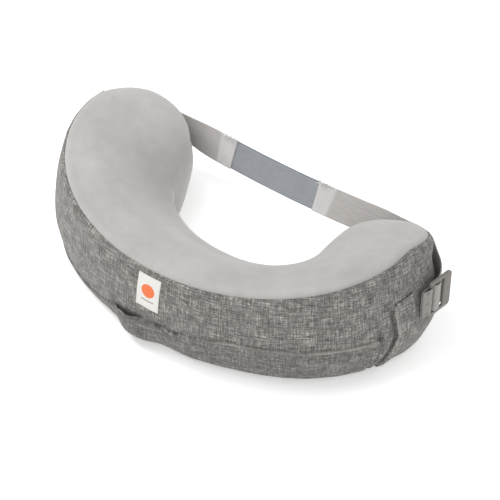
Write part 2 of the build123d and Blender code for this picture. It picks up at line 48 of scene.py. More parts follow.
# ------------------------------------------------------------------ the shape
# The same skin as the CAD part, in millimetres, before the shift to the row
# frame.  Every piece is built here and then moved by TO_ROW and scaled.
SPINE_HALF, SPINE_DEPTH, SPINE_TURN = 217.66, 145.80, 1.5400
HALF_W_MID, HALF_W_END, WIDTH_POWER = 81.47, 87.33, 1.605
HEIGHT_MID, HEIGHT_Q2, HEIGHT_Q4 = 139.50, 48.94, -17.24
CAP_STRETCH = 1.1
Y_ORIGIN = 86.95
LOCK_X, LOCK_Y, LOCK_Z = 308.5, 153.0, 97.0


def spine(t):
    th = SPINE_TURN * t
    kx = SPINE_HALF / math.sin(min(SPINE_TURN, math.pi / 2))
    ky = SPINE_DEPTH / (1 - math.cos(SPINE_TURN))
    tx, ty = kx * math.cos(th), ky * math.sin(th)
    n = math.hypot(tx, ty)
    return kx * math.sin(th), ky * (1 - math.cos(th)), tx / n, ty / n


def catmull(cp, m):
    cp = np.array(cp, float)
    a = np.vstack([2 * cp[0] - cp[1], cp, 2 * cp[-1] - cp[-2]])
    out = []
    u = np.linspace(0, 1, m, endpoint=False)[:, None]
    for i in range(len(cp) - 1):
        p0, p1, p2, p3 = a[i:i + 4]
        d = lambda p, q: max(np.linalg.norm(q - p), 1e-6) ** 0.5
        t01, t12, t23 = d(p0, p1), d(p1, p2), d(p2, p3)
        m1 = p2 - p1 + t12 * ((p1 - p0) / t01 - (p2 - p0) / (t01 + t12))
        m2 = p2 - p1 + t12 * ((p3 - p2) / t23 - (p3 - p1) / (t12 + t23))
        A, B = 2 * (p1 - p2) + m1 + m2, -3 * (p1 - p2) - 2 * m1 - m2
        out.append(A * u ** 3 + B * u ** 2 + m1 * u + p1)
    out.append(cp[-1:])
    return np.vstack(out)


def section(t, m):
    q = t * t
    w = HALF_W_MID + (HALF_W_END - HALF_W_MID) * abs(t) ** WIDTH_POWER
    h = HEIGHT_MID + HEIGHT_Q2 * q + HEIGHT_Q4 * q * q
    c = 0.216 + 0.137 * q
    su, sz = 0.907 - 0.250 * q, 0.970 + 0.032 * q
    tu, tz = c + (su - c) * 0.701, max(0.989, sz + 0.02)
    cp = [(0.820, 0), (1, 0.306 + 0.036 * q), (su, sz), (tu, tz), (c, 1),
          (-(0.642 + 0.200 * q), 0.608 + 0.118 * q), (-1, 0.427), (-0.805, 0)]
    pr = catmull(np.array(cp) * [w, h], m)
    outer, inner = pr[:4 * m + 1], pr[4 * m:][::-1]
    k = np.arange(3 * m + 1)
    kk = np.linspace(0, 3 * m, 4 * m + 1)
    inner = np.stack([np.interp(kk, k, inner[:, i]) for i in (0, 1)], -1)
    return outer, inner, c * w


def column(s, m):
    if abs(s) <= 1:
        x, y, tx, ty = spine(s)
        o = section(s, m)[0]
        return np.stack([x + ty * o[:, 0], y - tx * o[:, 0], o[:, 1]], -1)
    sg = 1.0 if s > 0 else -1.0
    psi = (abs(s) - 1) * math.pi
    x, y, tx, ty = spine(sg)
    nx, ny = ty, -tx
    o, i, cu = section(1.0, m)
    be = (1 - math.cos(psi)) / 2
    r = (o[:, 0] - cu) * (1 - be) + (cu - i[:, 0]) * be
    z = o[:, 1] * (1 - be) + i[:, 1] * be
    dx = math.cos(psi) * nx + math.sin(psi) * CAP_STRETCH * sg * tx
    dy = math.cos(psi) * ny + math.sin(psi) * CAP_STRETCH * sg * ty
    return np.stack([x + nx * cu + dx * r, y + ny * cu + dy * r, z], -1)


def inner_column(t, m):
    x, y, tx, ty = spine(t)
    i = section(t, m)[1]
    return np.stack([x + ty * i[:, 0], y - tx * i[:, 0], i[:, 1]], -1)


# ------------------------------------------------------------ the fine skin
M = 16
N_T, N_CAP = 241, 64
TS = np.linspace(-1, 1, N_T)
cols, kinds = [], []
for t in TS:
    cols.append(column(t, M)); kinds.append((0, t))
for k in range(1, N_CAP):
    cols.append(column(1 + k / N_CAP, M)); kinds.append((1, 1 + k / N_CAP))
for t in TS[::-1]:
    cols.append(inner_column(t, M)); kinds.append((2, t))
for k in range(N_CAP - 1, 0, -1):
    cols.append(column(-1 - k / N_CAP, M)); kinds.append((3, -1 - k / N_CAP))
GRID = np.array(cols)
NS, NV = GRID.shape[:2]
SEAM = 2 * M
KIND = np.array([k for k, _ in kinds])
SV = np.array([s for _, s in kinds])
CAPV = np.where(np.isin(KIND, (1, 3)), np.abs(SV) - 1, 0.0)

for inner_from, cap_from, passes in ((0.76, 0.90, 500), (0.80, 0.55, 25)):   # ease the neck, then the lobe's inner end
    soft = np.where(((KIND == 2) & (np.abs(SV) > inner_from)) | (CAPV > cap_from))[0]
    for _ in range(passes):
        near = (GRID[soft - 1] + GRID[(soft + 1) % NS]) / 2
        GRID[soft, :-1] = 0.5 * GRID[soft, :-1] + 0.5 * near[:, :-1]

# the seam climbs onto the lobe where it rounds the right end
for i in range(NS):
    if KIND[i] != 1 or not 0 < CAPV[i] < 0.9:
        continue
    u = np.clip(CAPV[i] / 0.34, 0, 1); v = np.clip((0.85 - CAPV[i]) / 0.4, 0, 1)
    d_ = 9.0 * u * u * (3 - 2 * u) * v * v * (3 - 2 * v)
    j = np.arange(NV)
    src_ = np.where(j <= SEAM, j * (SEAM + d_) / SEAM, SEAM + d_ + (j - SEAM) * (NV - 1 - SEAM - d_) / (NV - 1 - SEAM))
    GRID[i] = np.stack([np.interp(src_, j, GRID[i][:, c]) for c in range(3)], -1)


def weld(grid):
    ids = np.zeros(grid.shape[:2], int)
    pts, key = [], {}
    for i in range(grid.shape[0]):
        for j in range(grid.shape[1]):
            if j < grid.shape[1] - 1:
                ids[i, j] = len(pts); pts.append(grid[i, j]); continue
            k = tuple(np.round(grid[i, j], 2))
            if k not in key:
                key[k] = len(pts); pts.append(grid[i, j])
            ids[i, j] = key[k]
    return ids, np.array(pts)


IDS, PTS = weld(GRID)


def cell_faces(mask):
    out = []
    for i in range(NS):
        i2 = (i + 1) % NS
        for j in range(NV - 1):
            if mask[i, j]:
                f = [IDS[i, j], IDS[i2, j], IDS[i2, j + 1], IDS[i, j + 1]]
                g = [f[k] for k in range(4) if f[k] != f[k - 1]]
                if len(set(g)) >= 3:
                    out.append(g)
    return out


ALLF = cell_faces(np.ones((NS, NV - 1), bool))
TRI = np.array([t for f in ALLF for t in ([f[:3], [f[0], f[2], f[3]]] if len(f) == 4 else [f])])
EDG = np.unique(np.sort(np.vstack([TRI[:, [0, 1]], TRI[:, [1, 2]], TRI[:, [2, 0]]]), 1), axis=0)


def normals(P):
    n = np.cross(P[TRI[:, 1]] - P[TRI[:, 0]], P[TRI[:, 2]] - P[TRI[:, 0]])
    N = np.zeros_like(P)
    for k in range(3):
        np.add.at(N, TRI[:, k], n)
    return N / np.maximum(np.linalg.norm(N, axis=1)[:, None], 1e-12)


def smooth(P, w, n):
    """Laplacian smoothing, w in 0..1 per point."""
    cnt = np.bincount(EDG.ravel(), minlength=len(P))[:, None]
    P = P.copy()
    for _ in range(n):
        s = np.zeros_like(P)
        for k in range(3):
            s[:, k] = np.bincount(EDG[:, 0], P[EDG[:, 1], k], len(P)) + np.bincount(EDG[:, 1], P[EDG[:, 0], k], len(P))
        P += w[:, None] * 0.5 * (s / cnt - P)
    return P


# per-point station, level and arc coordinates
ST = np.zeros(len(PTS)); LV = np.zeros(len(PTS)); SS = np.zeros(len(PTS)); CP = np.zeros(len(PTS))
UU = np.zeros(len(PTS)); VV = np.zeros(len(PTS))
ring = GRID[:, M]
ulen = np.r_[0, np.cumsum(np.linalg.norm(np.diff(np.vstack([ring, ring[:1]]), axis=0), axis=1))][:-1]
vlen = np.concatenate([np.zeros((NS, 1)), np.cumsum(np.linalg.norm(np.diff(GRID, axis=1), axis=2), axis=1)], 1)
DSEAM = np.zeros(len(PTS))
for i in range(NS):
    for j in range(NV):
        k = IDS[i, j]
        ST[k], LV[k], SS[k], CP[k] = i, j, SV[i], CAPV[i]
        UU[k], VV[k] = ulen[i], vlen[i, j]
        DSEAM[k] = vlen[i, j] - vlen[i, SEAM]
KP = np.zeros(len(PTS), int)
for i in range(NS):
    KP[IDS[i]] = KIND[i]

# the left lobe's back shoulder sits lower, as worn in
lv = np.clip((NV - 1 - LV) / (NV - 1 - SEAM), 0, 1)
wl = np.where(SS < -0.86, np.exp(-((SS + 1.28) / 0.24) ** 2), 0.0)
PTS[:, 2] *= 1 - 0.075 * wl * lv
# the foot of the left lobe's inner wall spreads into the opening
ft = np.where((KP == 2) | (CP > 0.85), np.exp(-((np.where(KP == 2, SS, -1.0 - (1.0 - CP)) + 0.87) / 0.17) ** 2), 0.0) * (SS < 0)
fz = np.clip((72.0 - PTS[:, 2]) / 62.0, 0, 1)
PTS[:, 0] += 12.0 * ft * fz * fz * (3 - 2 * fz)
PTS[:, 1] += 4.0 * ft * fz * fz * (3 - 2 * fz)
# lobe tops and the turn into the inner wall, eased
top_w = np.clip((LV - SEAM) / 6.0, 0, 1)
seam_s = np.exp(-((np.abs(SS) - 1) / 0.12) ** 2) * (KP != 2)
PTS = smooth(PTS, np.clip(seam_s * top_w, 0, 1), 120)
in_w = np.where((KP == 2) & (np.abs(SS) > 0.55), np.clip((np.abs(SS) - 0.55) / 0.2, 0, 1), 0.0)
in_w = np.maximum(in_w, np.where(CP > 0.45, np.clip((CP - 0.45) / 0.25, 0, 1), 0.0)) * (LV > 0)
PTS = smooth(PTS, in_w, 12)
NRM = normals(PTS)
if NRM[IDS[N_T // 2, M]][1] > 0:
    NRM = -NRM
    FLIP = True
else:
    FLIP = False


# deterministic value noise
def hashed(ix, iy, seed):
    h = (ix.astype(np.int64) * 374761393 + iy.astype(np.int64) * 668265263 + seed * 2147483647) & 0xFFFFFFFF
    h = ((h ^ (h >> 13)) * 1274126177) & 0xFFFFFFFF
    return ((h ^ (h >> 16)) & 0xFFFF) / 65535.0


def noise(x, y, seed=0):
    x0, y0 = np.floor(x), np.floor(y)
    fx, fy = x - x0, y - y0
    fx, fy = fx * fx * (3 - 2 * fx), fy * fy * (3 - 2 * fy)
    a, b = hashed(x0, y0, seed), hashed(x0 + 1, y0, seed)
    c, d = hashed(x0, y0 + 1, seed), hashed(x0 + 1, y0 + 1, seed)
    return (a * (1 - fx) + b * fx) * (1 - fy) + (c * (1 - fx) + d * fx) * fy - 0.5


def sstep(a, b, x):
    u = np.clip((x - a) / (b - a), 0, 1)
    return u * u * (3 - 2 * u)


SIDE_END = 0.85
is_wall_pt = (KP == 0) | (CP > 0) & (CP <= SIDE_END)
# seam distance, signed: negative on the tweed wall, positive on the plush
ds = np.where(is_wall_pt, DSEAM, 60.0)
ds = np.where(KP == 2, 60.0, ds)
disp = np.zeros(len(PTS))
disp -= 1.7 * np.exp(-(ds / 2.0) ** 2)                       # seam valley
disp += 0.9 * np.exp(-((ds - 9) / 7.0) ** 2)                 # plush rolls over
disp += 0.6 * np.exp(-((ds + 9) / 7.0) ** 2)
pucker = np.sin(UU / 13.0 * 2 * math.pi + 3 * noise(UU / 37, UU * 0, 3)) * (0.35 + noise(UU / 19, VV * 0, 5))
disp += 0.28 * pucker * np.exp(-np.abs(ds) / 9.0)
wall = np.where((ds < 0) & is_wall_pt, 1.0, 0.0)
disp += wall * 2.0 * noise(UU / 55.0, VV / 70.0, 11) * np.clip(-ds / 12, 0, 1)
disp += wall * 1.0 * noise(UU / 16.0, VV / 60.0, 12) * np.clip(-ds / 12, 0, 1)
plush = 1 - wall
disp += plush * 1.6 * noise(PTS[:, 0] / 70.0, PTS[:, 1] / 70.0, 21) * np.clip(np.abs(ds) / 25, 0, 1)
disp += plush * 0.5 * noise(PTS[:, 0] / 23.0 + PTS[:, 2] / 31.0, PTS[:, 1] / 23.0, 22) * np.clip(np.abs(ds) / 15, 0, 1)
# dark slit at the band's right end, shadow fold before the wing, slack folds
def groove(dist, width, depth):
    return -depth * np.exp(-(dist / width) ** 2)


US = np.interp(SS, np.linspace(-1, 1, N_T), ulen[:N_T])       # arc length at s
def arc_of(s):
    return np.interp(s, np.linspace(-1, 1, N_T), ulen[:N_T])


zz = PTS[:, 2]
slit_s = np.interp(zz, [10, 23, 35, 51, 84], [0.800, 0.808, 0.822, 0.826, 0.824])
disp += wall * groove(UU - arc_of(slit_s) - 2.0, 2.6, 5.5) * sstep(96, 78, zz) * (KP == 0)
edge_s = np.interp(zz, [8, 19, 35, 64, 113], [0.845, 0.856, 0.872, 0.899, 0.885])
disp += wall * groove(UU - arc_of(edge_s) + 2.6, 3.2, 5.0) * sstep(122, 104, zz) * (KP == 0)
fold = np.exp(-((SS - 0.885) / 0.05) ** 2) * sstep(100, 125, zz) * sstep(172, 150, zz) * (KP == 0)
disp += wall * fold * 1.5 * np.sin((UU + 0.22 * zz) / 13.0 * 2 * math.pi)
low = np.exp(-((SS - 0.845) / 0.03) ** 2) * sstep(95, 70, zz) * (KP == 0)
disp += wall * low * 1.8
SKIN = PTS + NRM * disp[:, None]
# soft foot: the wall curls under to the base
R_FOOT = 11.0
foot = np.clip((R_FOOT - SKIN[:, 2]) / R_FOOT, 0, 1)
nh = NRM.copy(); nh[:, 2] = 0
nh /= np.maximum(np.linalg.norm(nh, axis=1)[:, None], 1e-9)
SKIN -= nh * (R_FOOT * (1 - np.sqrt(np.clip(1 - foot ** 2, 0, 1))))[:, None]
SKIN[:, 2] = np.maximum(SKIN[:, 2], 1.2)
SN = normals(SKIN) * (-1 if FLIP else 1)


# ------------------------------------------------------------------ materials
def nodes_of(name):
    m = bpy.data.materials.new(name)
    m.use_nodes = True
    nt = m.node_tree
    nt.nodes.clear()
    out = nt.nodes.new("ShaderNodeOutputMaterial")
    b = nt.nodes.new("ShaderNodeBsdfPrincipled")
    nt.links.new(b.outputs[0], out.inputs[0])
    return m, nt, b


class NT:
    def __init__(self, nt):
        self.nt = nt

    def n(self, kind, **kw):
        nd = self.nt.nodes.new(kind)
        for k, v in kw.items():
            setattr(nd, k, v)
        return nd

    def put(self, sock, v):
        if isinstance(v, bpy.types.NodeSocket):
            self.nt.links.new(v, sock)
        else:
            sock.default_value = v

    def math(self, op, a, b=0.0, c=0.0, clamp=False):
        nd = self.n("ShaderNodeMath", operation=op, use_clamp=clamp)
        self.put(nd.inputs[0], a); self.put(nd.inputs[1], b); self.put(nd.inputs[2], c)
        return nd.outputs[0]

    def vec(self, x, y, z=0.0):
        nd = self.n("ShaderNodeCombineXYZ")
        for i, v in enumerate((x, y, z)):
            self.put(nd.inputs[i], v)
        return nd.outputs[0]

    def sep(self, v):
        nd = self.n("ShaderNodeSeparateXYZ")
        self.put(nd.inputs[0], v)
        return nd.outputs

    def attr(self, name):
        return self.n("ShaderNodeAttribute", attribute_name=name).outputs["Vector"]

    def obj(self):
        return self.n("ShaderNodeTexCoord").outputs["Object"]

    def noise(self, vec, scale, detail=2.0, rough=0.5, dist=0.0):
        nd = self.n("ShaderNodeTexNoise")
        self.put(nd.inputs["Vector"], vec)
        nd.inputs["Scale"].default_value = scale
        nd.inputs["Detail"].default_value = detail
        nd.inputs["Roughness"].default_value = rough
        nd.inputs["Distortion"].default_value = dist
        return nd.outputs[0]

    def ramp(self, f, stops):
        nd = self.n("ShaderNodeValToRGB")
        self.put(nd.inputs[0], f)
        e = nd.color_ramp.elements
        while len(e) > 1:
            e.remove(e[-1])
        e[0].position = stops[0][0]; e[0].color = (*stops[0][1], 1)
        for p, c in stops[1:]:
            k = e.new(p); k.color = (*c, 1)
        return nd.outputs[0]

    def mix(self, f, a, b):
        nd = self.n("ShaderNodeMix", data_type="RGBA")
        self.put(nd.inputs[0], f)
        for i, v in ((6, a), (7, b)):
            self.put(nd.inputs[i], v if isinstance(v, bpy.types.NodeSocket) else (*v, 1))
        return nd.outputs[2]

    def bump(self, h, strength, dist):
        nd = self.n("ShaderNodeBump")
        nd.inputs["Strength"].default_value = strength
        nd.inputs["Distance"].default_value = dist
        self.put(nd.inputs["Height"], h)
        return nd.outputs[0]


def lin(r, g, b):
    f = lambda c: ((c / 255 + 0.055) / 1.055) ** 2.4 if c / 255 > 0.04045 else c / 255 / 12.92
    return (f(r), f(g), f(b))


def mat_plush():
    m, nt, b = nodes_of("plush")
    k = NT(nt)
    o = k.obj()
    big = k.noise(o, 9, 3, 0.55)
    mid = k.noise(o, 60, 3, 0.6)
    fine = k.noise(o, 900, 2, 0.6)
    f = k.math("ADD", k.math("MULTIPLY", big, 0.5), k.math("ADD", k.math("MULTIPLY", mid, 0.25), k.math("MULTIPLY", fine, 0.25)))
    c = k.ramp(f, [(0.30, lin(161, 159, 156)), (0.5, lin(174, 172, 169)), (0.70, lin(186, 184, 181))])
    nt.links.new(c, b.inputs["Base Color"])
    r = k.math("MULTIPLY_ADD", mid, 0.12, 0.82)
    nt.links.new(r, b.inputs["Roughness"])
    h = k.math("ADD", k.math("MULTIPLY", fine, 0.7), k.math("MULTIPLY", mid, 0.5))
    nt.links.new(k.bump(h, 0.35, 0.0007), b.inputs["Normal"])
    b.inputs["Sheen Weight"].default_value = 0.35
    b.inputs["Sheen Roughness"].default_value = 0.45
    b.inputs["Specular IOR Level"].default_value = 0.15
    return m


def mat_tweed(name="tweed", attr="wv", shade_gain=1.0):
    m, nt, b = nodes_of(name)
    k = NT(nt)
    uv = k.sep(k.attr(attr))
    u, v = uv[0], uv[1]
    # slubs along and across, stretched noise in millimetres
    h1 = k.noise(k.vec(k.math("MULTIPLY", u, 0.046), k.math("MULTIPLY", v, 0.56)), 1.0, 2, 0.55)
    h2 = k.noise(k.vec(k.math("MULTIPLY", u, 0.16), k.math("MULTIPLY", v, 1.1), 5.0), 1.0, 2, 0.5)
    v1 = k.noise(k.vec(k.math("MULTIPLY", u, 0.56), k.math("MULTIPLY", v, 0.046), 9.0), 1.0, 2, 0.55)
    v2 = k.noise(k.vec(k.math("MULTIPLY", u, 1.1), k.math("MULTIPLY", v, 0.16), 13.0), 1.0, 2, 0.5)
    big = k.noise(k.vec(k.math("MULTIPLY", u, 0.045), k.math("MULTIPLY", v, 0.06), 17.0), 1.0, 2, 0.5)
    s = k.math("ADD", k.math("MULTIPLY", h1, 0.55), k.math("MULTIPLY", v1, 0.50))
    s = k.math("ADD", s, k.math("MULTIPLY", k.math("ADD", h2, v2), 0.38))
    s = k.math("ADD", s, k.math("MULTIPLY", big, 0.22))
    # plain weave of about 1.1 mm threads
    wu = k.math("SINE", k.math("MULTIPLY", u, 2 * math.pi / 1.5))
    wv = k.math("SINE", k.math("MULTIPLY", v, 2 * math.pi / 1.5))
    weave = k.math("MULTIPLY", wu, wv)
    s = k.math("ADD", s, k.math("MULTIPLY", weave, 0.035))
    lo, hi = 0.72, 1.32
    f = k.math("DIVIDE", k.math("SUBTRACT", s, lo), hi - lo, clamp=True)
    c = k.ramp(f, [(0.0, lin(52, 49, 46)), (0.3, lin(92, 89, 86)), (0.55, lin(128, 125, 122)), (0.75, lin(168, 165, 161)), (1.0, lin(212, 209, 204))])
    c = k.mix(k.math("MULTIPLY", k.math("MAXIMUM", uv[2], 0.0), 0.6), c, lin(204, 200, 194))    # painted highlight along fold edges, from a positive third wv channel
    c = k.mix(k.math("MULTIPLY", k.math("MAXIMUM", k.math("MULTIPLY", uv[2], -1.0), 0.0), 0.8), c, lin(44, 42, 40))   # painted shade in slits and beside raised edges, from a negative third wv channel
    # painted shade: a darker copy of the tweed, mixed towards near-black
    if shade_gain < 1:
        c = k.mix(1.0 - shade_gain, c, lin(20, 19, 18))
    nt.links.new(c, b.inputs["Base Color"])
    nt.links.new(k.math("MULTIPLY_ADD", f, 0.1, 0.82), b.inputs["Roughness"])
    h = k.math("ADD", k.math("MULTIPLY", weave, 0.3), k.math("MULTIPLY", f, 1.0))
    nt.links.new(k.bump(h, 0.5, 0.0006), b.inputs["Normal"])
    b.inputs["Sheen Weight"].default_value = 0.12
    b.inputs["Specular IOR Level"].default_value = 0.2
    return m


def mat_web(name, c0, c1, pitch=1.6, ribs=0.0, attr="wv", selv=None):
    m, nt, b = nodes_of(name)
    k = NT(nt)
    uv = k.sep(k.attr(attr))
    u, v = uv[0], uv[1]
    tw = k.math("SINE", k.math("MULTIPLY", k.math("ADD", u, v), 2 * math.pi / pitch))
    tx = k.math("SINE", k.math("MULTIPLY", k.math("SUBTRACT", u, v), 2 * math.pi / pitch))
    rib = k.math("SINE", k.math("MULTIPLY", v, 2 * math.pi / 2.2))
    h = k.math("ADD", k.math("MULTIPLY", k.math("ADD", tw, tx), 0.25 * (1 - ribs)), k.math("MULTIPLY", rib, 0.5 * ribs))
    n1 = k.noise(k.vec(k.math("MULTIPLY", u, 0.05), k.math("MULTIPLY", v, 0.25)), 1.0, 3, 0.6)
    n2 = k.noise(k.vec(u, v), 1.3, 2, 0.5)
    f = k.math("ADD", k.math("MULTIPLY", n1, 0.6), k.math("ADD", k.math("MULTIPLY", n2, 0.3), k.math("MULTIPLY", h, 0.12)))
    c = k.ramp(f, [(0.25, c0), (0.65, c1)])
    c = k.mix(k.math("MULTIPLY", uv[2], 0.62), c, lin(216, 216, 216))     # thread-dense box joins
    if selv:
        c = k.mix(k.math("GREATER_THAN", k.math("ABSOLUTE", v), selv), c, lin(102, 106, 112))   # woven selvedge
    nt.links.new(c, b.inputs["Base Color"])
    nt.links.new(k.math("MULTIPLY_ADD", n2, 0.12, 0.72), b.inputs["Roughness"])
    nt.links.new(k.bump(h, 0.35, 0.0003), b.inputs["Normal"])
    b.inputs["Sheen Weight"].default_value = 0.15
    b.inputs["Specular IOR Level"].default_value = 0.25
    return m


def mat_plain(name, c0, c1, rough=0.5, scale=400, bump=0.05, spec=0.4, metal=0.0):
    m, nt, b = nodes_of(name)
    k = NT(nt)
    o = k.obj()
    n1 = k.noise(o, scale, 3, 0.6)
    n0 = k.noise(o, scale / 12, 2, 0.5)
    f = k.math("ADD", k.math("MULTIPLY", n1, 0.5), k.math("MULTIPLY", n0, 0.5))
    c = k.ramp(f, [(0.3, c0), (0.7, c1)])
    nt.links.new(c, b.inputs["Base Color"])
    nt.links.new(k.math("MULTIPLY_ADD", n1, 0.12, rough - 0.06), b.inputs["Roughness"])
    nt.links.new(k.bump(n1, bump, 0.0002), b.inputs["Normal"])
    b.inputs["Specular IOR Level"].default_value = spec
    b.inputs["Metallic"].default_value = metal
    return m


def mat_label():
    m, nt, b = nodes_of("label")
    k = NT(nt)
    uv = k.sep(k.attr("wv"))          # millimetres from the label's centre
    u, v = uv[0], uv[1]
    # a plain orange disc and a grey bar under it
    dv = k.math("MULTIPLY", k.math("SUBTRACT", v, 3.5), 0.8)
    d = k.math("SQRT", k.math("ADD", k.math("MULTIPLY", u, u), k.math("MULTIPLY", dv, dv)))
    block = k.math("LESS_THAN", d, 8.8)
    bar = k.math("MULTIPLY", k.math("LESS_THAN", k.math("ABSOLUTE", u), 8.5),
                 k.math("LESS_THAN", k.math("ABSOLUTE", k.math("ADD", v, 13.5)), 0.9))
    n = k.noise(k.vec(u, v), 2.2, 2, 0.5)
    white = k.ramp(n, [(0.3, lin(214, 212, 207)), (0.7, lin(229, 227, 223))])
    orange = k.ramp(n, [(0.3, lin(222, 98, 44)), (0.7, lin(240, 122, 62))])
    c = k.mix(block, white, orange)
    c = k.mix(bar, c, lin(120, 116, 112))
    nt.links.new(c, b.inputs["Base Color"])
    wv = k.math("MULTIPLY", k.math("SINE", k.math("MULTIPLY", u, 9.0)), k.math("SINE", k.math("MULTIPLY", v, 9.0)))
    nt.links.new(k.bump(k.math("ADD", wv, k.math("MULTIPLY", block, 1.5)), 0.2, 0.0002), b.inputs["Normal"])
    nt.links.new(k.math("MULTIPLY_ADD", n, 0.1, 0.55), b.inputs["Roughness"])
    b.inputs["Sheen Weight"].default_value = 0.1
    return m


PLUSH, TWEED = mat_plush(), mat_tweed()
WEB = mat_web("webbing_light", lin(174, 170, 167), lin(192, 188, 186))
ELAST = mat_web("elastic_grey", lin(140, 143, 148), lin(156, 160, 165), 2.0, 0.8, selv=21.1)
BASEM = mat_web("base_weave", lin(84, 81, 78), lin(104, 101, 98), 1.8)
TAPE = mat_plain("zipper_tape", lin(84, 81, 79), lin(98, 95, 92), 0.8, 1500, 0.3, 0.2)
COIL = mat_plain("zipper_coil", lin(66, 64, 62), lin(84, 82, 80), 0.45, 900, 0.1)
METAL = mat_plain("zipper_metal", lin(86, 84, 82), lin(104, 102, 99), 0.38, 500, 0.05, 0.5, 0.6)
THREAD = mat_plain("thread_offwhite", lin(206, 204, 199), lin(228, 226, 222), 0.7, 2500, 0.4, 0.2)
THREAD_D = mat_plain("thread_grey", lin(128, 125, 121), lin(150, 147, 143), 0.7, 2500, 0.4, 0.2)
PLASTIC = mat_plain("buckle_plastic", lin(108, 104, 100), lin(122, 118, 114), 0.46, 700, 0.06, 0.45)
FOAM = mat_plain("foam", lin(222, 214, 190), lin(238, 231, 208), 0.9, 1200, 0.5, 0.1)
LABEL = mat_label()
# the band's tweed, darkened as painted shade for its down-facing cloth
TWEED_SHADED = mat_tweed("tweed_band_shaded", shade_gain=0.80)
TAPE_M = mat_web("zipper_tape_weave", lin(76, 73, 71), lin(94, 91, 88), 1.2)
WEB_M = mat_web("webbing_wrap", lin(148, 145, 141), lin(166, 163, 159))
WEB_D = mat_web("webbing_loop", lin(128, 125, 121), lin(146, 143, 139))
THREAD_L = mat_plain("thread_loop", lin(126, 123, 119), lin(146, 143, 139), 0.7, 2500, 0.4, 0.2)
THREAD_T = mat_plain("thread_tweed", lin(96, 93, 90), lin(132, 129, 125), 0.75, 2500, 0.4, 0.2)
THREAD_W = mat_plain("thread_strap", lin(206, 205, 203), lin(236, 235, 233), 0.7, 2500, 0.4, 0.2)
TAGM = mat_web("tag_satin", lin(222, 220, 215), lin(234, 232, 228), 1.0)


# ------------------------------------------------------------------ mesh maker
def to_row(P):
    Q = np.array(P, float).reshape(-1, 3).copy()
    # the strap draws the right lobe's back corner in
    w_ = np.exp(-((Q[:, 0] - 270.0) ** 2 + (Q[:, 1] - 222.0) ** 2) / 30.0 ** 2)
    u_ = np.clip((Q[:, 2] - 124.0) / 24.0, 0, 1)
    w_ = w_ * (1 - 1.5 * u_ * u_ * (3 - 2 * u_))
    Q[:, 0] -= 6.0 * w_
    Q[:, 1] -= 5.5 * w_
    Q[:, 1] -= Y_ORIGIN
    return Q * 0.001


def make(name, P, faces, mat, body="pillow", nodes=(), wv=None, sm=True, ride=True):
    me = bpy.data.meshes.new(name)
    me.from_pydata(to_row(P).tolist(), [], [tuple(int(k) for k in f) for f in faces])
    me.validate()
    me.update()
    if wv is not None:
        a = me.attributes.new("wv", "FLOAT_VECTOR", "POINT")
        a.data.foreach_set("vector", np.array(wv, np.float32).reshape(-1))
    bm = bmesh.new(); bm.from_mesh(me)
    bmesh.ops.recalc_face_normals(bm, faces=bm.faces)
    bm.to_mesh(me); bm.free()
    if sm:
        me.polygons.foreach_set("use_smooth", [True] * len(me.polygons))
    ob = bpy.data.objects.new(name, me)
    bpy.context.scene.collection.objects.link(ob)
    me.materials.append(mat)
    if ride:
        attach(ob, body)
    if nodes:
        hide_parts(*nodes)
    return ob


def shell(name, P, N, mask, depth, mat, nodes, wv):
    """Thick cloth over the masked cells; the inner face lies depth under it."""
    F = cell_faces(mask)
    used = np.unique(np.concatenate([np.array(f) for f in F]))
    remap = -np.ones(len(P), int); remap[used] = np.arange(len(used))
    n = len(used)
    inn = P[used] - N[used] * depth
    inn[:, 2] = np.maximum(inn[:, 2], 0.6)
    V = np.vstack([P[used], inn])
    out, edges = [], {}
    for f in F:
        g = [remap[k] for k in f]
        out.append(g)
        out.append([k + n for k in g[::-1]])
        for a, b in zip(g, g[1:] + g[:1]):
            edges[(a, b)] = 1
    for a, b in edges:
        if (b, a) not in edges:
            out.append([b, a, a + n, b + n])
    w = wv[used]
    return make(name, V, out, mat, nodes=nodes, wv=np.vstack([w, w]))


side_cells = np.zeros((NS, NV - 1), bool)
for i in range(NS):
    i2 = (i + 1) % NS
    ok = all(KIND[a] == 0 or (CAPV[a] > 0 and CAPV[a] <= SIDE_END) for a in (i, i2))
    if ok:
        side_cells[i, :SEAM] = True
# painted shade: darkens the tweed in the slit at the band's right end and just left of the wing's raised edge
painted_shade = -0.9 * np.exp(-((UU - arc_of(slit_s) - 1.5) / 2.0) ** 2) * sstep(90, 70, zz) * (KP == 0)
painted_shade -= 0.55 * np.exp(-((UU - arc_of(edge_s) + 3.5) / 3.6) ** 2) * sstep(116, 96, zz) * (KP == 0)
painted_shade *= (SS > 0)
WVEC = np.stack([UU, VV, np.clip(painted_shade, -1, 0)], -1)
side = shell("side_cover", SKIN, SN, side_cells, 1.6, TWEED, ["side_panel"], WVEC)
top = shell("top_cover", SKIN, SN, ~side_cells, 1.6, PLUSH, ["top_panel"], WVEC)

# foam core, well under the cover
FP = smooth(PTS, np.ones(len(PTS)), 20) - NRM * 5.0
FP[:, 2] = np.where(LV == 0, 9.4, np.maximum(FP[:, 2], 9.4))
ff = list(ALLF) + [[IDS[i, 0] for i in range(NS)][::-1]]
foam = make("foam_block", FP, ff, FOAM, nodes=["foam_core"])

# ------------------------------------------------- lookups on the finished skin
ORDER = [i for i in range(NS) if KIND[i] == 3] + list(range(N_T)) + [i for i in range(NS) if KIND[i] == 1]
W_S = SV[ORDER]
W_P = SKIN[IDS[ORDER][:, :SEAM + 8]]
W_N = SN[IDS[ORDER][:, :SEAM + 8]]
_u = ulen[ORDER].copy()
_u[:np.sum(KIND == 3)] -= ulen[-1] + np.linalg.norm(ring[0] - ring[-1])
W_U = _u


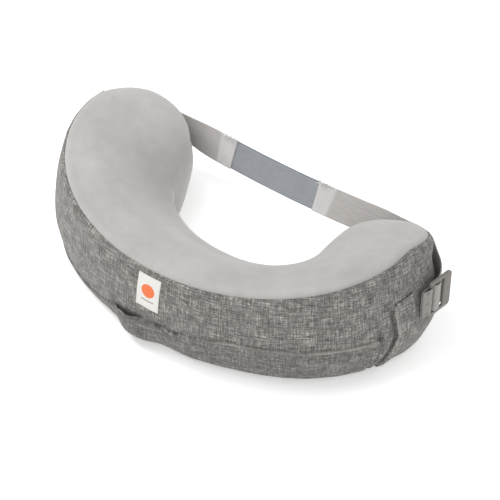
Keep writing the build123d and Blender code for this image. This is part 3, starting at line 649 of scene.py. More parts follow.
def on_wall(s, z, off):
    """Point of the finished wall at arc station s and height z, out by off."""
    k = int(np.clip(np.searchsorted(W_S, s) - 1, 0, len(W_S) - 2))
    f = (s - W_S[k]) / (W_S[k + 1] - W_S[k])
    P = W_P[k] * (1 - f) + W_P[k + 1] * f
    N = W_N[k] * (1 - f) + W_N[k + 1] * f
    h = np.maximum.accumulate(P[:, 2] + np.arange(len(P)) * 1e-4)
    p = np.array([np.interp(z, h, P[:, c]) for c in range(3)])
    n = np.array([np.interp(z, h, N[:, c]) for c in range(3)])
    n /= np.linalg.norm(n)
    return p + n * off, n


def s_u(s):
    return float(np.interp(s, W_S, W_U))


def u_s(u):
    return float(np.interp(u, W_U, W_S))


def closed_grid(A, B):
    """Closed cloth between two point grids: points and faces."""
    A, B = np.array(A), np.array(B)
    a, b = A.shape[:2]
    n = a * b
    I = lambda i, j: i * b + j
    F = []
    for i in range(a - 1):
        for j in range(b - 1):
            p, q, r, t = I(i, j), I(i + 1, j), I(i + 1, j + 1), I(i, j + 1)
            F += [(p, q, r, t), (t + n, r + n, q + n, p + n)]
    rim = [I(i, 0) for i in range(a)] + [I(a - 1, j) for j in range(1, b)]
    rim += [I(i, b - 1) for i in range(a - 2, -1, -1)] + [I(0, j) for j in range(b - 2, 0, -1)]
    for k in range(len(rim)):
        p, q = rim[k], rim[(k + 1) % len(rim)]
        F.append((q, p, p + n, q + n))
    return np.vstack([A.reshape(-1, 3), B.reshape(-1, 3)]), F


def sheet_of(A):
    """Takes a sheet's outer point grid, in millimetres, and for each grid direction works out the share of its run that
    climbs in height; the result is thrown away and nothing is declared or returned."""
    A = np.array(A)
    for ax in (0, 1):
        d = np.diff(A, axis=ax)
        np.abs(d[..., 2]).sum() / np.linalg.norm(d, axis=2).sum()


def cloth(name, S, Z, o_in, o_out, mat, nodes, body="pillow", highlight=None):
    """Cloth on the wall; S, Z, o_in, o_out are matching grids."""
    A, B, W = [], [], []
    for i in range(S.shape[0]):
        ra, rb, rw = [], [], []
        for j in range(S.shape[1]):
            p, n = on_wall(S[i, j], Z[i, j], 0.0)
            n[2] = max(n[2], -0.25); n /= np.linalg.norm(n)
            ra.append(p + n * o_out[i, j]); rb.append(p + n * o_in[i, j])
            # the third wv channel carries the painted highlight grid
            rw.append((s_u(S[i, j]), Z[i, j], 0 if highlight is None else highlight[i, j]))
        A.append(ra); B.append(rb); W.append(rw)
    P, F = closed_grid(A, B)
    P[:, 2] = np.maximum(P[:, 2], 0.25)
    W = np.array(W).reshape(-1, 3)
    ob = make(name, P, F, mat, body=body, nodes=nodes, wv=np.vstack([W, W]))
    sheet_of(A)
    return ob


# small parts made of many pieces
class Bag:
    def __init__(self):
        self.P, self.F, self.n = [], [], 0

    def add(self, P, F):
        self.P.append(np.array(P, float)); self.F += [tuple(k + self.n for k in f) for f in F]
        self.n += len(P)

    def stitch(self, a, b, n, r=0.42, h=0.36, sink=0.12):
        """One sewn stitch from a to b on a surface of normal n."""
        a, b, n = np.array(a, float), np.array(b, float), np.array(n, float)
        d = b - a
        L = np.linalg.norm(d)
        if L < 0.2:
            return
        d /= L
        w = np.cross(n, d); w /= np.linalg.norm(w)
        P, F = [], []
        for k, t in enumerate((0, 0.12, 0.5, 0.88, 1)):
            q = (0.45, 0.9, 1.0, 0.9, 0.45)[k]
            c = a + d * L * t + n * (h * q - sink * 2 - h * 0.55 + sink)
            for m in range(6):
                an = m * math.pi / 3
                P.append(c + w * r * q * math.cos(an) + n * h * q * math.sin(an))
        for k in range(4):
            for m in range(6):
                m2 = (m + 1) % 6
                F.append((k * 6 + m, k * 6 + m2, k * 6 + 6 + m2, k * 6 + 6 + m))
        F += [tuple(range(5, -1, -1)), tuple(range(24, 30))]
        self.add(P, F)

    def seam(self, pts, nrm, length=2.6, gap=0.9, **kw):
        """A run of stitches along a path."""
        pts, nrm = np.array(pts, float), np.array(nrm, float)
        L = np.r_[0, np.cumsum(np.linalg.norm(np.diff(pts, axis=0), axis=1))]
        at = lambda u, Q: np.array([np.interp(u, L, Q[:, c]) for c in range(3)])
        u = gap / 2
        while u + length <= L[-1]:
            n = at(u + length / 2, nrm); n /= np.linalg.norm(n)
            self.stitch(at(u, pts), at(u + length, pts), n, **kw)
            u += length + gap

    def tube(self, pts, r, sides=6, taper=False):
        pts = np.array(pts, float)
        P, F = [], []
        ref = np.array([0.31, 0.52, 0.79])
        for i, p in enumerate(pts):
            d = pts[min(i + 1, len(pts) - 1)] - pts[max(i - 1, 0)]
            d /= max(np.linalg.norm(d), 1e-9)
            x = np.cross(d, ref); x /= np.linalg.norm(x)
            y = np.cross(d, x)
            rr = r * (0.55 if taper and i in (0, len(pts) - 1) else 1.0)
            for m in range(sides):
                an = 2 * math.pi * m / sides
                P.append(p + (x * math.cos(an) + y * math.sin(an)) * rr)
        for i in range(len(pts) - 1):
            for m in range(sides):
                m2 = (m + 1) % sides
                F.append((i * sides + m, i * sides + m2, (i + 1) * sides + m2, (i + 1) * sides + m))
        k = (len(pts) - 1) * sides
        F += [tuple(range(sides - 1, -1, -1)), tuple(range(k, k + sides))]
        self.add(P, F)

    def done(self, name, mat, body="pillow", nodes=()):
        P = np.vstack(self.P)
        return make(name, P, self.F, mat, body=body, nodes=nodes, wv=P)


def tape(name, st, width, thick, mat, nodes=(), body="pillow", shift=0.0, ride=True,
         wavy=0.0, u0=0.0, across=9, zone=None, creases=(), seed=1):
    """Webbing through stations (x, y, z, lean, nx, ny); returns the object."""
    st = np.array(st, float)
    L = np.r_[0, np.cumsum(np.linalg.norm(np.diff(st[:, :3], axis=0), axis=1))]
    n_u = max(int(L[-1] / 2.5), 6)
    us = np.linspace(0, L[-1], n_u)
    C = [catmull_eval(L, st[:, c], us) for c in range(6)]
    x, y, z, ln, nx, ny = C
    q = np.hypot(nx, ny); nx, ny = nx / q, ny / q
    n = np.stack([nx * np.cos(ln), ny * np.cos(ln), -np.sin(ln)], -1)
    w = np.stack([nx * np.sin(ln), ny * np.sin(ln), np.cos(ln)], -1)
    c = np.stack([x, y, z], -1) + n * shift
    a = np.array([-1, -0.985, -0.95] + list(np.linspace(-0.8, 0.8, across)) + [0.95, 0.985, 1])
    t = np.array([0.45, 0.85, 1.0] + [1.0] * across + [1.0, 0.85, 0.45])
    A, B, W = [], [], []
    for i in range(n_u):
        wob = wavy * (noise(us[i:i + 1] / 26.0, a * 1.3, seed) + 0.5 * noise(us[i:i + 1] / 9.0, a * 2.0, seed + 1))
        for xc, dep, wd, sl in creases:
            wob = wob - dep * np.exp(-((c[i][0] - xc - sl * a) / wd) ** 2)
        A.append([c[i] + w[i] * (width / 2 * a[k]) + n[i] * (wob[k] + thick / 2 * t[k]) for k in range(len(a))])
        B.append([c[i] + w[i] * (width / 2 * a[k]) + n[i] * (wob[k] - thick / 2 * t[k]) for k in range(len(a))])
        W.append([(us[i] + u0, width / 2 * a[k], 0 if zone is None else zone(c[i][0], a[k])) for k in range(len(a))])
    P, F = closed_grid(A, B)
    W = np.array(W).reshape(-1, 3)
    ob = make(name, P, F, mat, body=body, nodes=nodes, wv=np.vstack([W, W]), ride=ride)
    return ob


def catmull_eval(L, v, us):
    """Smooth interpolation through v at L (monotone-ish cubic)."""
    m = np.gradient(v, L)
    k = np.clip(np.searchsorted(L, us) - 1, 0, len(L) - 2)
    h = L[k + 1] - L[k]
    t = (us - L[k]) / h
    return ((2 * t ** 3 - 3 * t ** 2 + 1) * v[k] + (t ** 3 - 2 * t ** 2 + t) * h * m[k]
            + (-2 * t ** 3 + 3 * t ** 2) * v[k + 1] + (t ** 3 - t ** 2) * h * m[k + 1])


def plan_stations(path, zc):
    """Stations of an upright tape along a plan path, normal to its right."""
    P = np.array(path, float)
    zc = np.broadcast_to(np.array(zc, float), (len(P),))
    out = []
    for i in range(len(P)):
        d = P[min(i + 1, len(P) - 1)] - P[max(i - 1, 0)]
        d /= np.linalg.norm(d)
        out.append((P[i][0], P[i][1], zc[i], 0.0, d[1], -d[0]))
    return out


def mir_st(st):
    return [(-x, y, z, l, -nx, ny) for x, y, z, l, nx, ny in st]


def rounded(node, name, width, mat, body, segs=3, angle=35, corner=None):
    """Softened copy of a hard CAD node."""
    me = NODES[node].data.copy()
    bm = bmesh.new(); bm.from_mesh(me)
    bmesh.ops.remove_doubles(bm, verts=bm.verts, dist=1e-6)
    bmesh.ops.dissolve_limit(bm, angle_limit=math.radians(2), verts=bm.verts, edges=bm.edges)
    if corner:                    # (y0, zc, half, radius): round the far ends in the y-z plane
        y0, zc, half, R_ = corner
        for k_ in (0.0, 0.3, 0.58, 0.84):
            bmesh.ops.bisect_plane(bm, geom=list(bm.verts) + list(bm.edges) + list(bm.faces), dist=1e-7,
                                   plane_co=(0, y0 - R_ + R_ * k_, 0), plane_no=(0, 1, 0))
            for sg_ in (1, -1):
                bmesh.ops.bisect_plane(bm, geom=list(bm.verts) + list(bm.edges) + list(bm.faces), dist=1e-7,
                                       plane_co=(0, 0, zc + sg_ * (half - R_ + R_ * k_)), plane_no=(0, 0, 1))
        for v_ in bm.verts:
            a_, b_ = (v_.co.y - y0 + R_) / R_, (abs(v_.co.z - zc) - half + R_) / R_
            if a_ > 0 and b_ > 0:
                a_, b_ = min(a_, 1), min(b_, 1)
                sg_ = 1 if v_.co.z > zc else -1
                v_.co.y = y0 - R_ + R_ * a_ * math.sqrt(1 - b_ * b_ / 2)
                v_.co.z = zc + sg_ * (half - R_ + R_ * b_ * math.sqrt(1 - a_ * a_ / 2))
    bm.to_mesh(me); bm.free()
    ob = bpy.data.objects.new(name, me)
    bpy.context.scene.collection.objects.link(ob)
    bv = ob.modifiers.new("bevel", "BEVEL")
    bv.width = width * 0.001; bv.segments = segs; bv.limit_method = "ANGLE"
    bv.angle_limit = math.radians(angle); bv.use_clamp_overlap = True; bv.harden_normals = False
    dg = bpy.context.evaluated_depsgraph_get()
    new = bpy.data.meshes.new_from_object(ob.evaluated_get(dg))
    ob.modifiers.clear()
    ob.data = new
    new.materials.clear(); new.materials.append(mat)
    new.polygons.foreach_set("use_smooth", [True] * len(new.polygons))
    new.set_sharp_from_angle(angle=math.radians(50))
    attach(ob, body)
    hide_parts(node)
    return ob


# ------------------------------------------------------------- base and zipper
ZIP_R = ZIP_YC = 309.6
ZIP_HALF = 35.2


def arc_xy(r, deg):
    a = math.radians(-90 + deg)
    return r * math.cos(a), ZIP_YC + r * math.sin(a)


rim = np.array([SKIN[IDS[i, 0]] for i in range(NS)])[::2]
cen = np.roll(rim, -1, 0) - np.roll(rim, 1, 0)
nin = np.stack([-cen[:, 1], cen[:, 0]], -1)
nin /= np.linalg.norm(nin, axis=1)[:, None]
outer = rim[:, :2] + nin * 0.3
slot_loop = [arc_xy(ZIP_R + 9, d) for d in np.linspace(-36.6, 40, 70)] + [arc_xy(ZIP_R - 9, d) for d in np.linspace(40, -36.6, 70)]


def plate(name, loops, z0, z1, mat, nodes):
    bm = bmesh.new()
    es = []
    for L in loops:
        vs = [bm.verts.new((x, y, z0)) for x, y in L]
        es += [bm.edges.new((vs[k], vs[(k + 1) % len(vs)])) for k in range(len(vs))]
    bmesh.ops.triangle_fill(bm, edges=es, use_beauty=True, use_dissolve=False)
    ex = bmesh.ops.extrude_face_region(bm, geom=list(bm.faces))
    for v in ex["geom"]:
        if isinstance(v, bmesh.types.BMVert):
            v.co.z = z1
    bm.verts.index_update()
    P = [tuple(v.co) for v in bm.verts]
    F = [tuple(v.index for v in f.verts) for f in bm.faces]
    bm.free()
    return make(name, P, F, mat, nodes=nodes, wv=[(q[0], q[1], 0.0) for q in P], sm=False)


base = plate("base_cloth", [outer, slot_loop], 0.35, 1.9, BASEM, ["base_panel"])

hem = Bag()                       # topstitch round the zipper opening
for r in (ZIP_R + 12.5, ZIP_R - 12.5):
    pts = [(*arc_xy(r, d), 0.33) for d in np.linspace(-37.2, 40.6, 90)]
    hem.seam(pts, [(0, 0, -1)] * len(pts), 3.0, 1.1, r=0.35, h=0.25)
hem_ob = hem.done("base_topstitch", THREAD_D)


def sweep_arc(name, prof, a0, a1, n, mat, nodes):
    P, F, W = [], [], []
    m = len(prof)
    for i, d in enumerate(np.linspace(a0, a1, n)):
        for r, z in prof:
            P.append((*arc_xy(r, d), z)); W.append((math.radians(d) * r, r + z, 0))
    for i in range(n - 1):
        for k in range(m):
            k2 = (k + 1) % m
            F.append((i * m + k, i * m + k2, (i + 1) * m + k2, (i + 1) * m + k))
    F += [tuple(range(m - 1, -1, -1)), tuple(range((n - 1) * m, n * m))]
    return make(name, P, F, mat, nodes=nodes, wv=W, sm=False)


for sg, nm in ((1, "front"), (-1, "rear")):
    g = lambda d: ZIP_R + sg * d
    prof = [(g(15.0), 2.0), (g(15.0), 2.8), (g(9.0), 2.8), (g(9.0), 5.8), (g(2.6), 5.8), (g(2.6), 5.0), (g(8.2), 5.0), (g(8.2), 2.0)]
    sweep_arc("tape_" + nm, prof, -36.5, 39.9, 110, TAPE_M, ["zipper_tape_" + nm])
    coil = Bag()
    turns = int(2 * math.radians(ZIP_HALF) * ZIP_R / 1.45)
    pts = []
    for k in range(turns * 7):
        d = -ZIP_HALF + 0.08 + (2 * ZIP_HALF - 0.16) * k / (turns * 7 - 1)
        ph = 2 * math.pi * k / 7 + (0 if sg > 0 else math.pi)
        r = ZIP_R + sg * 1.7 + 0.60 * math.cos(ph)
        pts.append((*arc_xy(r, d), 5.4 + 0.88 * math.sin(ph)))
    coil.tube(pts, 0.29, 5)
    coil.done("coil_" + nm, COIL, nodes=["zipper_coil_" + nm])

rounded("zipper_stops", "zip_stops", 0.25, COIL, "pillow", 2)
rounded("zipper_slider", "zip_slider_body", 0.22, METAL, "zip_slider", 2)
rounded("zipper_pull", "zip_pull_tab", 0.22, METAL, "zip_pull", 2)

# ----------------------------------------------------------------- belt band
def band_top(s):
    if s < 0:
        u = min(max((-s - 0.05) / 0.20, 0), 1)
        return 50.0 - 24.0 * u * u * (3 - 2 * u)
    return 50.0 + 17.0 * min(s / 0.33, 1.0) ** 1.5 + 4.0 * max(s - 0.33, 0)


u_a, u_b = s_u(-0.80), s_u(0.817)
n_b = 300
ub = np.r_[np.linspace(u_a, u_b - 2.4, n_b - 4), u_b - 1.6, u_b - 0.9, u_b - 0.35, u_b]
rows = [0, 0.10, 0.22, 0.36, 0.5, 0.62, 0.72]           # share of height below the hem
hemrows = [11.6, 10.9, 10.2, 9.5, 8.6, 6.4, 4.2, 2.4, 1.2, 0.45, 0.0]   # mm below the top edge
S = np.zeros((n_b, len(rows) + len(hemrows))); Z = S.copy(); OI = S.copy(); OO = S.copy(); HILITE = S.copy()
for i, u in enumerate(ub):
    s = u_s(u)
    top_z = band_top(s)
    flat = float(sstep(-0.20, -0.10, s))                 # hem stands out only past the slack fold
    endr = float(sstep(0.0, 9.0, u_b - u))
    z_h = top_z - 12.5
    zs = [2.2 + (z_h - 2.2) * r / 0.72 for r in rows] + [top_z - h for h in hemrows]
    hi = [0.0] * len(rows) + [0.05, -0.45, -0.5, 0.1, 0.6, 0.8, 0.95, 0.9, 0.55, -0.1, -0.9]
    gap = float(sstep(-0.13, -0.09, s)) * (1 - float(sstep(-0.05, 0.03, s)))     # the slack pouch gapes
    # strength of the painted highlight along the hem's top fold
    hem_highlight = float(sstep(0.12, 0.34, s)) * (0.60 + 0.5 * float(noise(np.array([u / 31.0]), np.array([2.0]), 33)[0]))
    for j, z in enumerate(zs):
        slack = 12.5 * math.exp(-(((s + 0.025) / (0.075 if s < -0.025 else 0.085)) ** 2) ** 1.3)
        slack *= float(sstep(2, 18, z)) * (1 - 0.80 * float(sstep(26, 50, z)) * (1 - 0.5 * gap))
        wob = 1.1 * float(noise(np.array([u / 46.0]), np.array([z / 40.0]), 31)[0]) * float(sstep(3, 20, z))
        lift = (0.35 + 1.2 * flat * float(sstep(20, 0, top_z - z))) + slack + max(wob, -0.3)
        lift += (1 - endr) * 1.6 * float(sstep(4, 25, z))
        snug = float(sstep(5.5, 1.0, top_z - z)) * (1 - gap)                      # sewn down along its edge
        s_end = float(np.interp(z, [10, 23, 35, 51, 84], [0.800, 0.808, 0.822, 0.826, 0.824]))
        S[i, j], Z[i, j] = s + (s_end - 0.819) * float(sstep(0.70, 0.817, s)), z
        OI[i, j] = (0.15 + lift * 0.92) * (1 - snug) - 0.5 * snug
        OO[i, j] = 1.75 + lift + hi[j] * (0.35 + 0.65 * flat)
        if s < -0.13:                                                             # eased into the wall
            OO[i, j] -= (1.1 * float(sstep(6, 0, top_z - z))) * float(sstep(-0.13, -0.17, s))
        # painted highlight along the hem's top fold, fed to the tweed's third wv channel
        HILITE[i, j] = hem_highlight * float(sstep(2.8, 1.0, top_z - z)) * (1 - 0.35 * float(sstep(0.4, 0.0, top_z - z)))
    if u_b - u < 0.2:
        OO[i, :] = OI[i, :] + 0.7
    OO[i, -1] = max(OI[i, -1] + 0.45, OO[i, -1] - 1.0) if gap > 0.3 else 0.35
band = cloth("band_cloth", S, Z, OI, OO, TWEED_SHADED, ["belt_band"], highlight=HILITE)
bs = Bag()
pp, nn = [], []
for i in range(0, n_b, 2):
    s = S[i, 0]
    if s < -0.16 or ub[i] > u_b - 3:
        continue
    j = len(rows) + 1
    p, n = on_wall(s, Z[i, j], 0)
    pp.append(p + n * (OO[i, j] + 0.05)); nn.append(n)
bs.seam(pp, nn, 2.7, 1.0, r=0.33, h=0.24)
bs.done("band_topstitch", THREAD_T)

# --------------------------------------------------------------------- wings
def wing_piece(side):
    nz, ns = 40, 36
    S = np.zeros((nz, ns)); Z = S.copy(); OI = S.copy(); OO = S.copy(); HILITE = S.copy()
    for i in range(nz):
        v = i / (nz - 1)
        for j in range(ns):
            w = (j / (ns - 1)) ** 1.5
            z_lo = 3.0 + 68.0 * w ** 1.6
            z_hi = 114.0 + 5.0 * w
            z = z_lo + (z_hi - z_lo) * v
            e = float(np.interp(z, [3, 8, 19, 35, 64, 113], [0.848, 0.850, 0.860, 0.875, 0.901, 0.887]))
            s = e + (0.968 - e) * w
            du = s_u(s) - s_u(e)
            roll = math.exp(-((du - 3.2) / 2.6) ** 2)
            dz = z_hi - z
            rolt = math.exp(-((dz - 2.5) / 2.4) ** 2)
            S[i, j], Z[i, j] = side * s, z
            amp = float(sstep(2, 26, z))
            wob = 0.8 * float(noise(np.array([s * 23.0]), np.array([z / 30.0]), 41)[0])
            base = 0.45 + 1.1 * float(sstep(0.90, 0.965, s)) + max(wob, -0.2)
            lift = (2.2 * roll + 0.7 * math.exp(-du / 9.0)) * amp
            OI[i, j] = base + lift * 0.8
            OO[i, j] = base + 1.9 + lift + 0.55 * rolt - 1.4 * (1 - float(sstep(3, 14, z)))
            # painted highlight along the wing's raised left edge
            HILITE[i, j] = 0.55 * math.exp(-((du - 1.4) / 1.4) ** 2) * float(sstep(32, 56, z)) * (1 - 0.6 * float(sstep(92, 110, z)))
            if du < 0.4:
                OO[i, j] = OI[i, j] + 0.9
            if dz < 0.3:
                OO[i, j] = OI[i, j] + 0.8
    return S, Z, OI, OO, HILITE


for side, nm in ((1, "right"), (-1, "left")):
    S, Z, OI, OO, HILITE = wing_piece(side)
    cloth(nm + "_wing_cloth", S, Z, OI, OO, TWEED, [nm + "_wing"], highlight=HILITE)

# --------------------------------------------------------------------- label
LABEL_X, LABEL_W, LABEL_Z0, LABEL_Z1 = 11.5, 30.0, 74.0, 129.0
KS = SPINE_HALF * SPINE_TURN
nl, ml = 25, 33
A, B, W = [], [], []
for i in range(nl):
    x = -LABEL_W / 2 + LABEL_W * i / (nl - 1)
    ra, rb, rw = [], [], []
    for j in range(ml):
        z = LABEL_Z0 + (LABEL_Z1 - LABEL_Z0) * j / (ml - 1)
        xx = x + 1.6 * (z - 101.5) / 27.5
        p, n = on_wall((LABEL_X + xx) / KS, z, 0)
        q = 0.45 + 0.35 * float(noise(np.array([x / 11.0]), np.array([z / 15.0]), 51)[0])
        ra.append(p + n * (q + 0.55)); rb.append(p + n * (q - 0.1)); rw.append((x, z - 101.5, 0))
    A.append(ra); B.append(rb); W.append(rw)
P, F = closed_grid(A, B)
W = np.array(W).reshape(-1, 3)
ob = make("label_cloth", P, F, LABEL, nodes=["front_label"], wv=np.vstack([W, W]))
sheet_of(A)
ls = Bag()
A = np.array(A)


def label_run(idx):
    P_ = [A[i, j] for i, j in idx]
    N_ = [on_wall((LABEL_X - LABEL_W / 2 + LABEL_W * i / (nl - 1)) / KS, LABEL_Z0 + 55.0 * j / (ml - 1), 0)[1] for i, j in idx]
    ls.seam([p + n * 0.06 for p, n in zip(P_, N_)], N_, 2.2, 0.9, r=0.26, h=0.2)


label_run([(i, 1) for i in range(1, nl - 1)])
label_run([(i, ml - 2) for i in range(1, nl - 1)])
label_run([(1, j) for j in range(2, ml - 2)])
label_run([(nl - 2, j) for j in range(2, ml - 2)])
ls.done("label_stitch", THREAD, nodes=["front_label_thread"])

# ------------------------------------------------------------------- care tag
def inner_pt(t, z):
    i = int(np.argmin(np.where(KIND == 2, np.abs(SV - t), 9)))
    col = SKIN[IDS[i]]
    n = SN[IDS[i]]
    h = np.maximum.accumulate(col[:, 2] + np.arange(NV) * 1e-4)
    m = 40
    return (np.array([np.interp(z, h[:m], col[:m, c]) for c in range(3)]),
            np.array([np.interp(z, h[:m], n[:m, c]) for c in range(3)]))


A, B, W = [], [], []
for i, t in enumerate(np.linspace(-0.30, -0.26, 7)):
    ra, rb, rw = [], [], []
    for j, z in enumerate(np.linspace(2.4, 38, 14)):
        p, n = inner_pt(t, z)
        q = 0.35 + 1.6 * (j / 13) ** 2 + 0.25 * math.sin(i * 0.9 + j * 0.5)
        ra.append(p + n * (q + 0.6)); rb.append(p + n * q); rw.append((i * 2.5, z, 0))
    A.append(ra); B.append(rb); W.append(rw)
P, F = closed_grid(A, B)
W = np.array(W).reshape(-1, 3)
make("care_tag_cloth", P, F, TAGM, nodes=["care_tag"], wv=np.vstack([W, W]))

# --------------------------------------------------------------- waist strap
WEB_W, WEB_T, ELASTIC_T, STRAP_GAP = 46.0, 1.5, 1.5, 1.2
STRAP_Z_BACK, STRAP_TILT, STRAP_SAG, STRAP_LEAN = 88.5, 8.0, 13.0, 22.0
JOIN_L, JOIN_R = (-136.0, -109.0), (43.0, 70.0)


def rim_plan(s):
    c = column(s, 8)[:21]
    o = column(s, 8)[-1][:2]
    return c[np.argmax(np.linalg.norm(c[:, :2] - o, axis=1))][:2]


def rim_off(s, d):
    a_, b_ = rim_plan(s - 0.01), rim_plan(s + 0.01)
    t_ = (b_ - a_) / np.linalg.norm(b_ - a_)
    return rim_plan(s) + np.array([t_[1], -t_[0]]) * d


off = STRAP_GAP + WEB_T / 2
fine = np.linspace(1.02, 1.9, 400)
rimc = np.array([rim_off(a_, off) for a_ in fine])
k_lead = int(np.argmax(rimc[:, 1] > 153.0 + 38.5))
k_tan = int(np.argmax(rimc[:, 1]))
X_TAN, Y_STRAP = float(rimc[k_tan, 0]), float(rimc[k_tan, 1])
arc = [rim_off(a_, off) for a_ in np.linspace(fine[k_lead], fine[k_tan], 12)]
arc_l = np.r_[0, np.cumsum([math.dist(arc[i], arc[i + 1]) for i in range(11)])]


def strap_z(x):
    return STRAP_Z_BACK + STRAP_TILT * x / X_TAN - STRAP_SAG * (1 - (x / X_TAN) ** 2)


def lean(x):
    u = min(max((X_TAN - abs(x)) / 80.0, 0), 1)
    return math.radians(STRAP_LEAN) * u * u * (3 - 2 * u)


def arc_stations(z_end):
    u = arc_l / arc_l[-1]
    z = LOCK_Z - 0.5 + (z_end - LOCK_Z + 0.5) * (u * u * (3 - 2 * u))
    out = []
    for i in range(12):
        t = np.array(arc[min(i + 1, 11)]) - np.array(arc[max(i - 1, 0)])
        t /= np.linalg.norm(t)
        if i == 11:
            t = np.array([-1.0, 0.0])
        out.append((arc[i][0], arc[i][1], z[i], 0.0, abs(t[1]), abs(t[0])))
    return out


def span(xs):
    return [(x, Y_STRAP, strap_z(x), lean(x), 0.0, 1.0) for x in xs]


arc_r, arc_lt = arc_stations(STRAP_Z_BACK + STRAP_TILT), arc_stations(STRAP_Z_BACK - STRAP_TILT)
EL = (WEB_T + ELASTIC_T) / 2 + 0.04
right_web = tape("right_strap", arc_r + span([205, 185, 165, 145, 120, 95, 70, 61, 52, 43]), WEB_W, WEB_T, WEB,
                 ["right_web"], wavy=0.5, seed=61,
                 zone=lambda x, a: float(sstep(73.0, 69.0, x - 3.0 * a)))
left_web = tape("left_strap", mir_st(arc_lt) + span([-205, -185, -165, -145, -136, -127, -118, -109]), WEB_W, WEB_T, WEB,
                ["left_web"], wavy=0.5, seed=67,
                zone=lambda x, a: float(sstep(-139.0, -134.0, x + 2.0 * a)))
elastic = tape("elastic_strap", span([-136, -127, -118, -109, -85, -60, -35, -10, 15, 43, 52, 61, 70]), WEB_W - 2, ELASTIC_T,
               ELAST, ["elastic_insert"], shift=EL, wavy=0.35, seed=71,
               creases=((4.0, 0.8, 1.6, 1.5), (11.5, 0.7, 1.4, 2.0), (-62.0, 0.4, 2.5, -2.0)))


def strap_frame(x, v, d):
    """Point of the strap at x, v across and d towards the wearer's side."""
    ln = lean(x)
    n = np.array([0, math.cos(ln), -math.sin(ln)])
    w = np.array([0, math.sin(ln), math.cos(ln)])
    return np.array([x, Y_STRAP, strap_z(x)]) + w * v - n * d, -n


for nm, (a_, b_) in (("left", JOIN_L), ("right", JOIN_R)):
    bag = Bag()
    h = (WEB_W - 9) / 2
    x0, x1 = a_ + 3, b_ - 3
    lines = [((x0, -h), (x1, -h)), ((x1, -h), (x1, h)), ((x1, h), (x0, h)), ((x0, h), (x0, -h)),
             ((x0, -h), (x1, h)), ((x0, h), (x1, -h))]
    for face in (1, -1):
        d = WEB_T / 2 + 0.06 if face > 0 else -(EL + ELASTIC_T / 2 + 0.06)
        for (xa, va), (xb, vb) in lines:
            P_, N_ = [], []
            for t in np.linspace(0, 1, 9):
                p, n = strap_frame(xa + (xb - xa) * t, va + (vb - va) * t, d)
                P_.append(p); N_.append(n * face)
            bag.seam(P_, N_, 2.5, 0.6, r=0.5, h=0.36)
    bag.done(nm + "_join_stitch", THREAD_W, nodes=[nm + "_join_thread"])
    tuft = Bag()                  # frayed thread ends over the joins' top edge
    rg = np.random.default_rng(5 if nm == "left" else 9)
    for k in range(30):
        x = a_ + 1 + (b_ - a_ - 2) * rg.random()
        L = 3.0 + 6.0 * rg.random()
        p, n = strap_frame(x, WEB_W / 2 - 1.6, WEB_T / 2 + 0.15)
        pts = [p]
        dvec = np.array([rg.normal() * 0.6, -0.25 + rg.normal() * 0.35, 0.95])
        for _ in range(5):
            dvec = dvec + np.array([rg.normal() * 0.45, rg.normal() * 0.3, -0.22])
            dvec /= np.linalg.norm(dvec)
            pts.append(pts[-1] + dvec * L / 5 * 1.25)
        tuft.tube(pts, 0.40, 5, taper=True)
    tuft.done(nm + "_thread_ends", THREAD_W)
    hemb = Bag()                  # left empty: the webbing's folded end is not built
    xe = b_ if nm == "left" else a_
    dd = -1 if nm == "left" else 1

# ----------------------------------------------------- adjusters, both sides
BAR_R, AW_T = 1.8, 1.2
LX, LY = LOCK_X, LOCK_Y
AR = BAR_R + 0.5 + AW_T / 2


def arc_pts(cx, cy, r, a0, a1, n):
    return [(cx + r * math.cos(math.radians(v)), cy + r * math.sin(math.radians(v))) for v in np.linspace(a0, a1, n)]


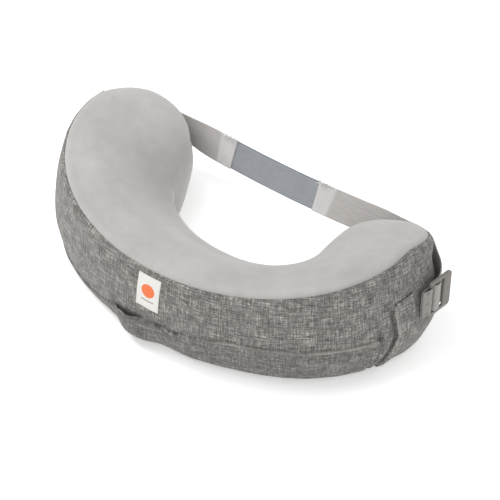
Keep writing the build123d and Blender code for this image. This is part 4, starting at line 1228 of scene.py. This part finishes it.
anchor_path = [(LX - 2.9, LY - 16.0), (LX - AR, LY - 5.0)] + arc_pts(LX, LY, AR, 180, 0, 9) + \
    [(LX + AR - 0.2, LY - 5.0), (LX - 0.8, LY - 16.0)]
wrap_path = [(LX - 3.0, LY + 19.0), (LX - 2.3, LY + 9.6), (LX - 0.6, LY + 7.4), (LX + 2.0, LY + 7.2),
             (LX + 3.5, LY + 9.2), (LX + 4.1, LY + 16.0), (LX + 3.2, LY + 18.6), (LX + 1.2, LY + 19.8),
             (LX - 0.6, LY + 21.6), (LX - 1.0, LY + 27.0), (LX + 0.2, LY + 42.0)]
p0, p1 = np.array(arc[0]), np.array(arc[1])
d0 = (p0 - p1) / np.linalg.norm(p0 - p1)
lead_path = [tuple(p0 + d0 * 0.15), tuple(p0 + d0 * 3.0), (LX - 3.9, LY + 23.5), (LX - 3.05, LY + 19.6)]
for side, nm in ((1, "right"), (-1, "left")):
    fl_ = (lambda st: st) if side > 0 else mir_st
    adj = nm + "_adjuster"
    tape(nm + "_anchor_loop", fl_(plan_stations(anchor_path, LOCK_Z)), WEB_W, AW_T, WEB_D, [nm + "_anchor_web"],
         wavy=0.15, seed=81)
    tape(nm + "_lock_wrap", fl_(plan_stations(wrap_path, LOCK_Z)), WEB_W - 0.5, 1.3, WEB_M, [nm + "_web_wrap"],
         body=adj, wavy=0.0)
    ld = tape(nm + "_strap_lead", fl_(plan_stations(lead_path, [LOCK_Z - 0.5, LOCK_Z - 0.4, LOCK_Z, LOCK_Z])), WEB_W - 0.2, WEB_T,
              WEB, [nm + "_web_lead"], ride=False)
    pa, pb = to_row(lead_path[0] + (LOCK_Z,))[0], to_row(lead_path[-1] + (LOCK_Z,))[0]
    if side < 0:
        pa[0], pb[0] = -pa[0], -pb[0]
    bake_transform(ld)
    rounded(nm + "_ladder_lock", nm + "_lock", 0.8, PLASTIC, adj, 3,
            corner=((LY + 41.5 - Y_ORIGIN) * 0.001, LOCK_Z * 0.001, 0.0305, 0.0065))
    tk = Bag()
    for dz in (-18.0, 0.0, 18.0):
        for k in range(7):
            y = LY - 11.0 + k * 0.72
            x = LX + 2.62 + (y - (LY - 8.6)) * 0.317
            a3 = np.array([side * x, y, LOCK_Z + dz - 1.4]); b3 = np.array([side * (x + 0.1), y + 0.5, LOCK_Z + dz + 1.4])
            tk.stitch(a3, b3, (side * 0.95, -0.3, 0), r=0.3, h=0.26)
    tk.done(nm + "_bar_tacks", THREAD_L, nodes=[nm + "_anchor_tacks"])

# ------------------------------------------------------------ camera, lights
AZ, EL, DIST, FPX, CX, CY = 40.1228, 41.0, 2849.9, 2050.66, 207.372, 256.157
a, e = math.radians(AZ), math.radians(EL)
back = Vector((math.sin(a) * math.cos(e), -math.cos(a) * math.cos(e), math.sin(e)))
right = Vector((math.cos(a), math.sin(a), 0))
up = right.cross(-back)
look = Vector((0, SPINE_DEPTH * 0.4, 65.3))
pos = look + back * DIST
fwd = (-back + right * ((250 - CX) / FPX) - up * ((250 - CY) / FPX)).normalized()
cam = bpy.data.cameras.new("cam")
cam.sensor_width = 36
cam.lens = FPX * 36 / 500
cam.clip_end = 20
co = bpy.data.objects.new("cam", cam)
bpy.context.scene.collection.objects.link(co)
r2 = fwd.cross(up).normalized()
u2 = r2.cross(fwd).normalized()
R = Matrix((r2, u2, -fwd)).transposed().to_4x4()
p = Vector(((pos.x) * 0.001, (pos.y - Y_ORIGIN) * 0.001, pos.z * 0.001))
co.matrix_world = Matrix.Translation(p) @ R
bpy.context.scene.camera = co


def area(name, loc, target, size, power, col=(1, 1, 1)):
    l = bpy.data.lights.new(name, "AREA")
    l.shape = "DISK"; l.size = size; l.energy = power; l.color = col
    o = bpy.data.objects.new(name, l)
    bpy.context.scene.collection.objects.link(o)
    o.location = loc
    d = Vector(target) - Vector(loc)
    o.rotation_euler = d.to_track_quat("-Z", "Y").to_euler()
    return o


area("key", (-0.7, -0.6, 2.3), (0, 0, 0.05), 1.5, 18)
area("side", (-1.5, -0.30, 1.30), (0, 0, 0.05), 0.4, 12)
area("fill", (1.7, -1.6, 1.2), (0, 0, 0.05), 1.6, 11)
area("rim", (0.9, 1.7, 1.7), (0, 0, 0.05), 1.4, 9)
w = bpy.data.worlds.new("w")
bpy.context.scene.world = w
w.use_nodes = True
w.node_tree.nodes["Background"].inputs[0].default_value = (1, 1, 1, 1)
w.node_tree.nodes["Background"].inputs[1].default_value = 0.63
bpy.context.scene.view_settings.view_transform = "Standard"

fl = bpy.data.meshes.new("floor")
fl.from_pydata([(-6, -6, -0.0005), (6, -6, -0.0005), (6, 6, -0.0005), (-6, 6, -0.0005)], [], [(0, 1, 2, 3)])
floor = bpy.data.objects.new("floor", fl)
bpy.context.scene.collection.objects.link(floor)
fm, fnt, fb = nodes_of("floor")
fb.inputs["Base Color"].default_value = (0.9, 0.9, 0.9, 1)
fb.inputs["Emission Color"].default_value = (1, 1, 1, 1)
fb.inputs["Emission Strength"].default_value = 0.35
fb.inputs["Roughness"].default_value = 0.9
fl.materials.append(fm)
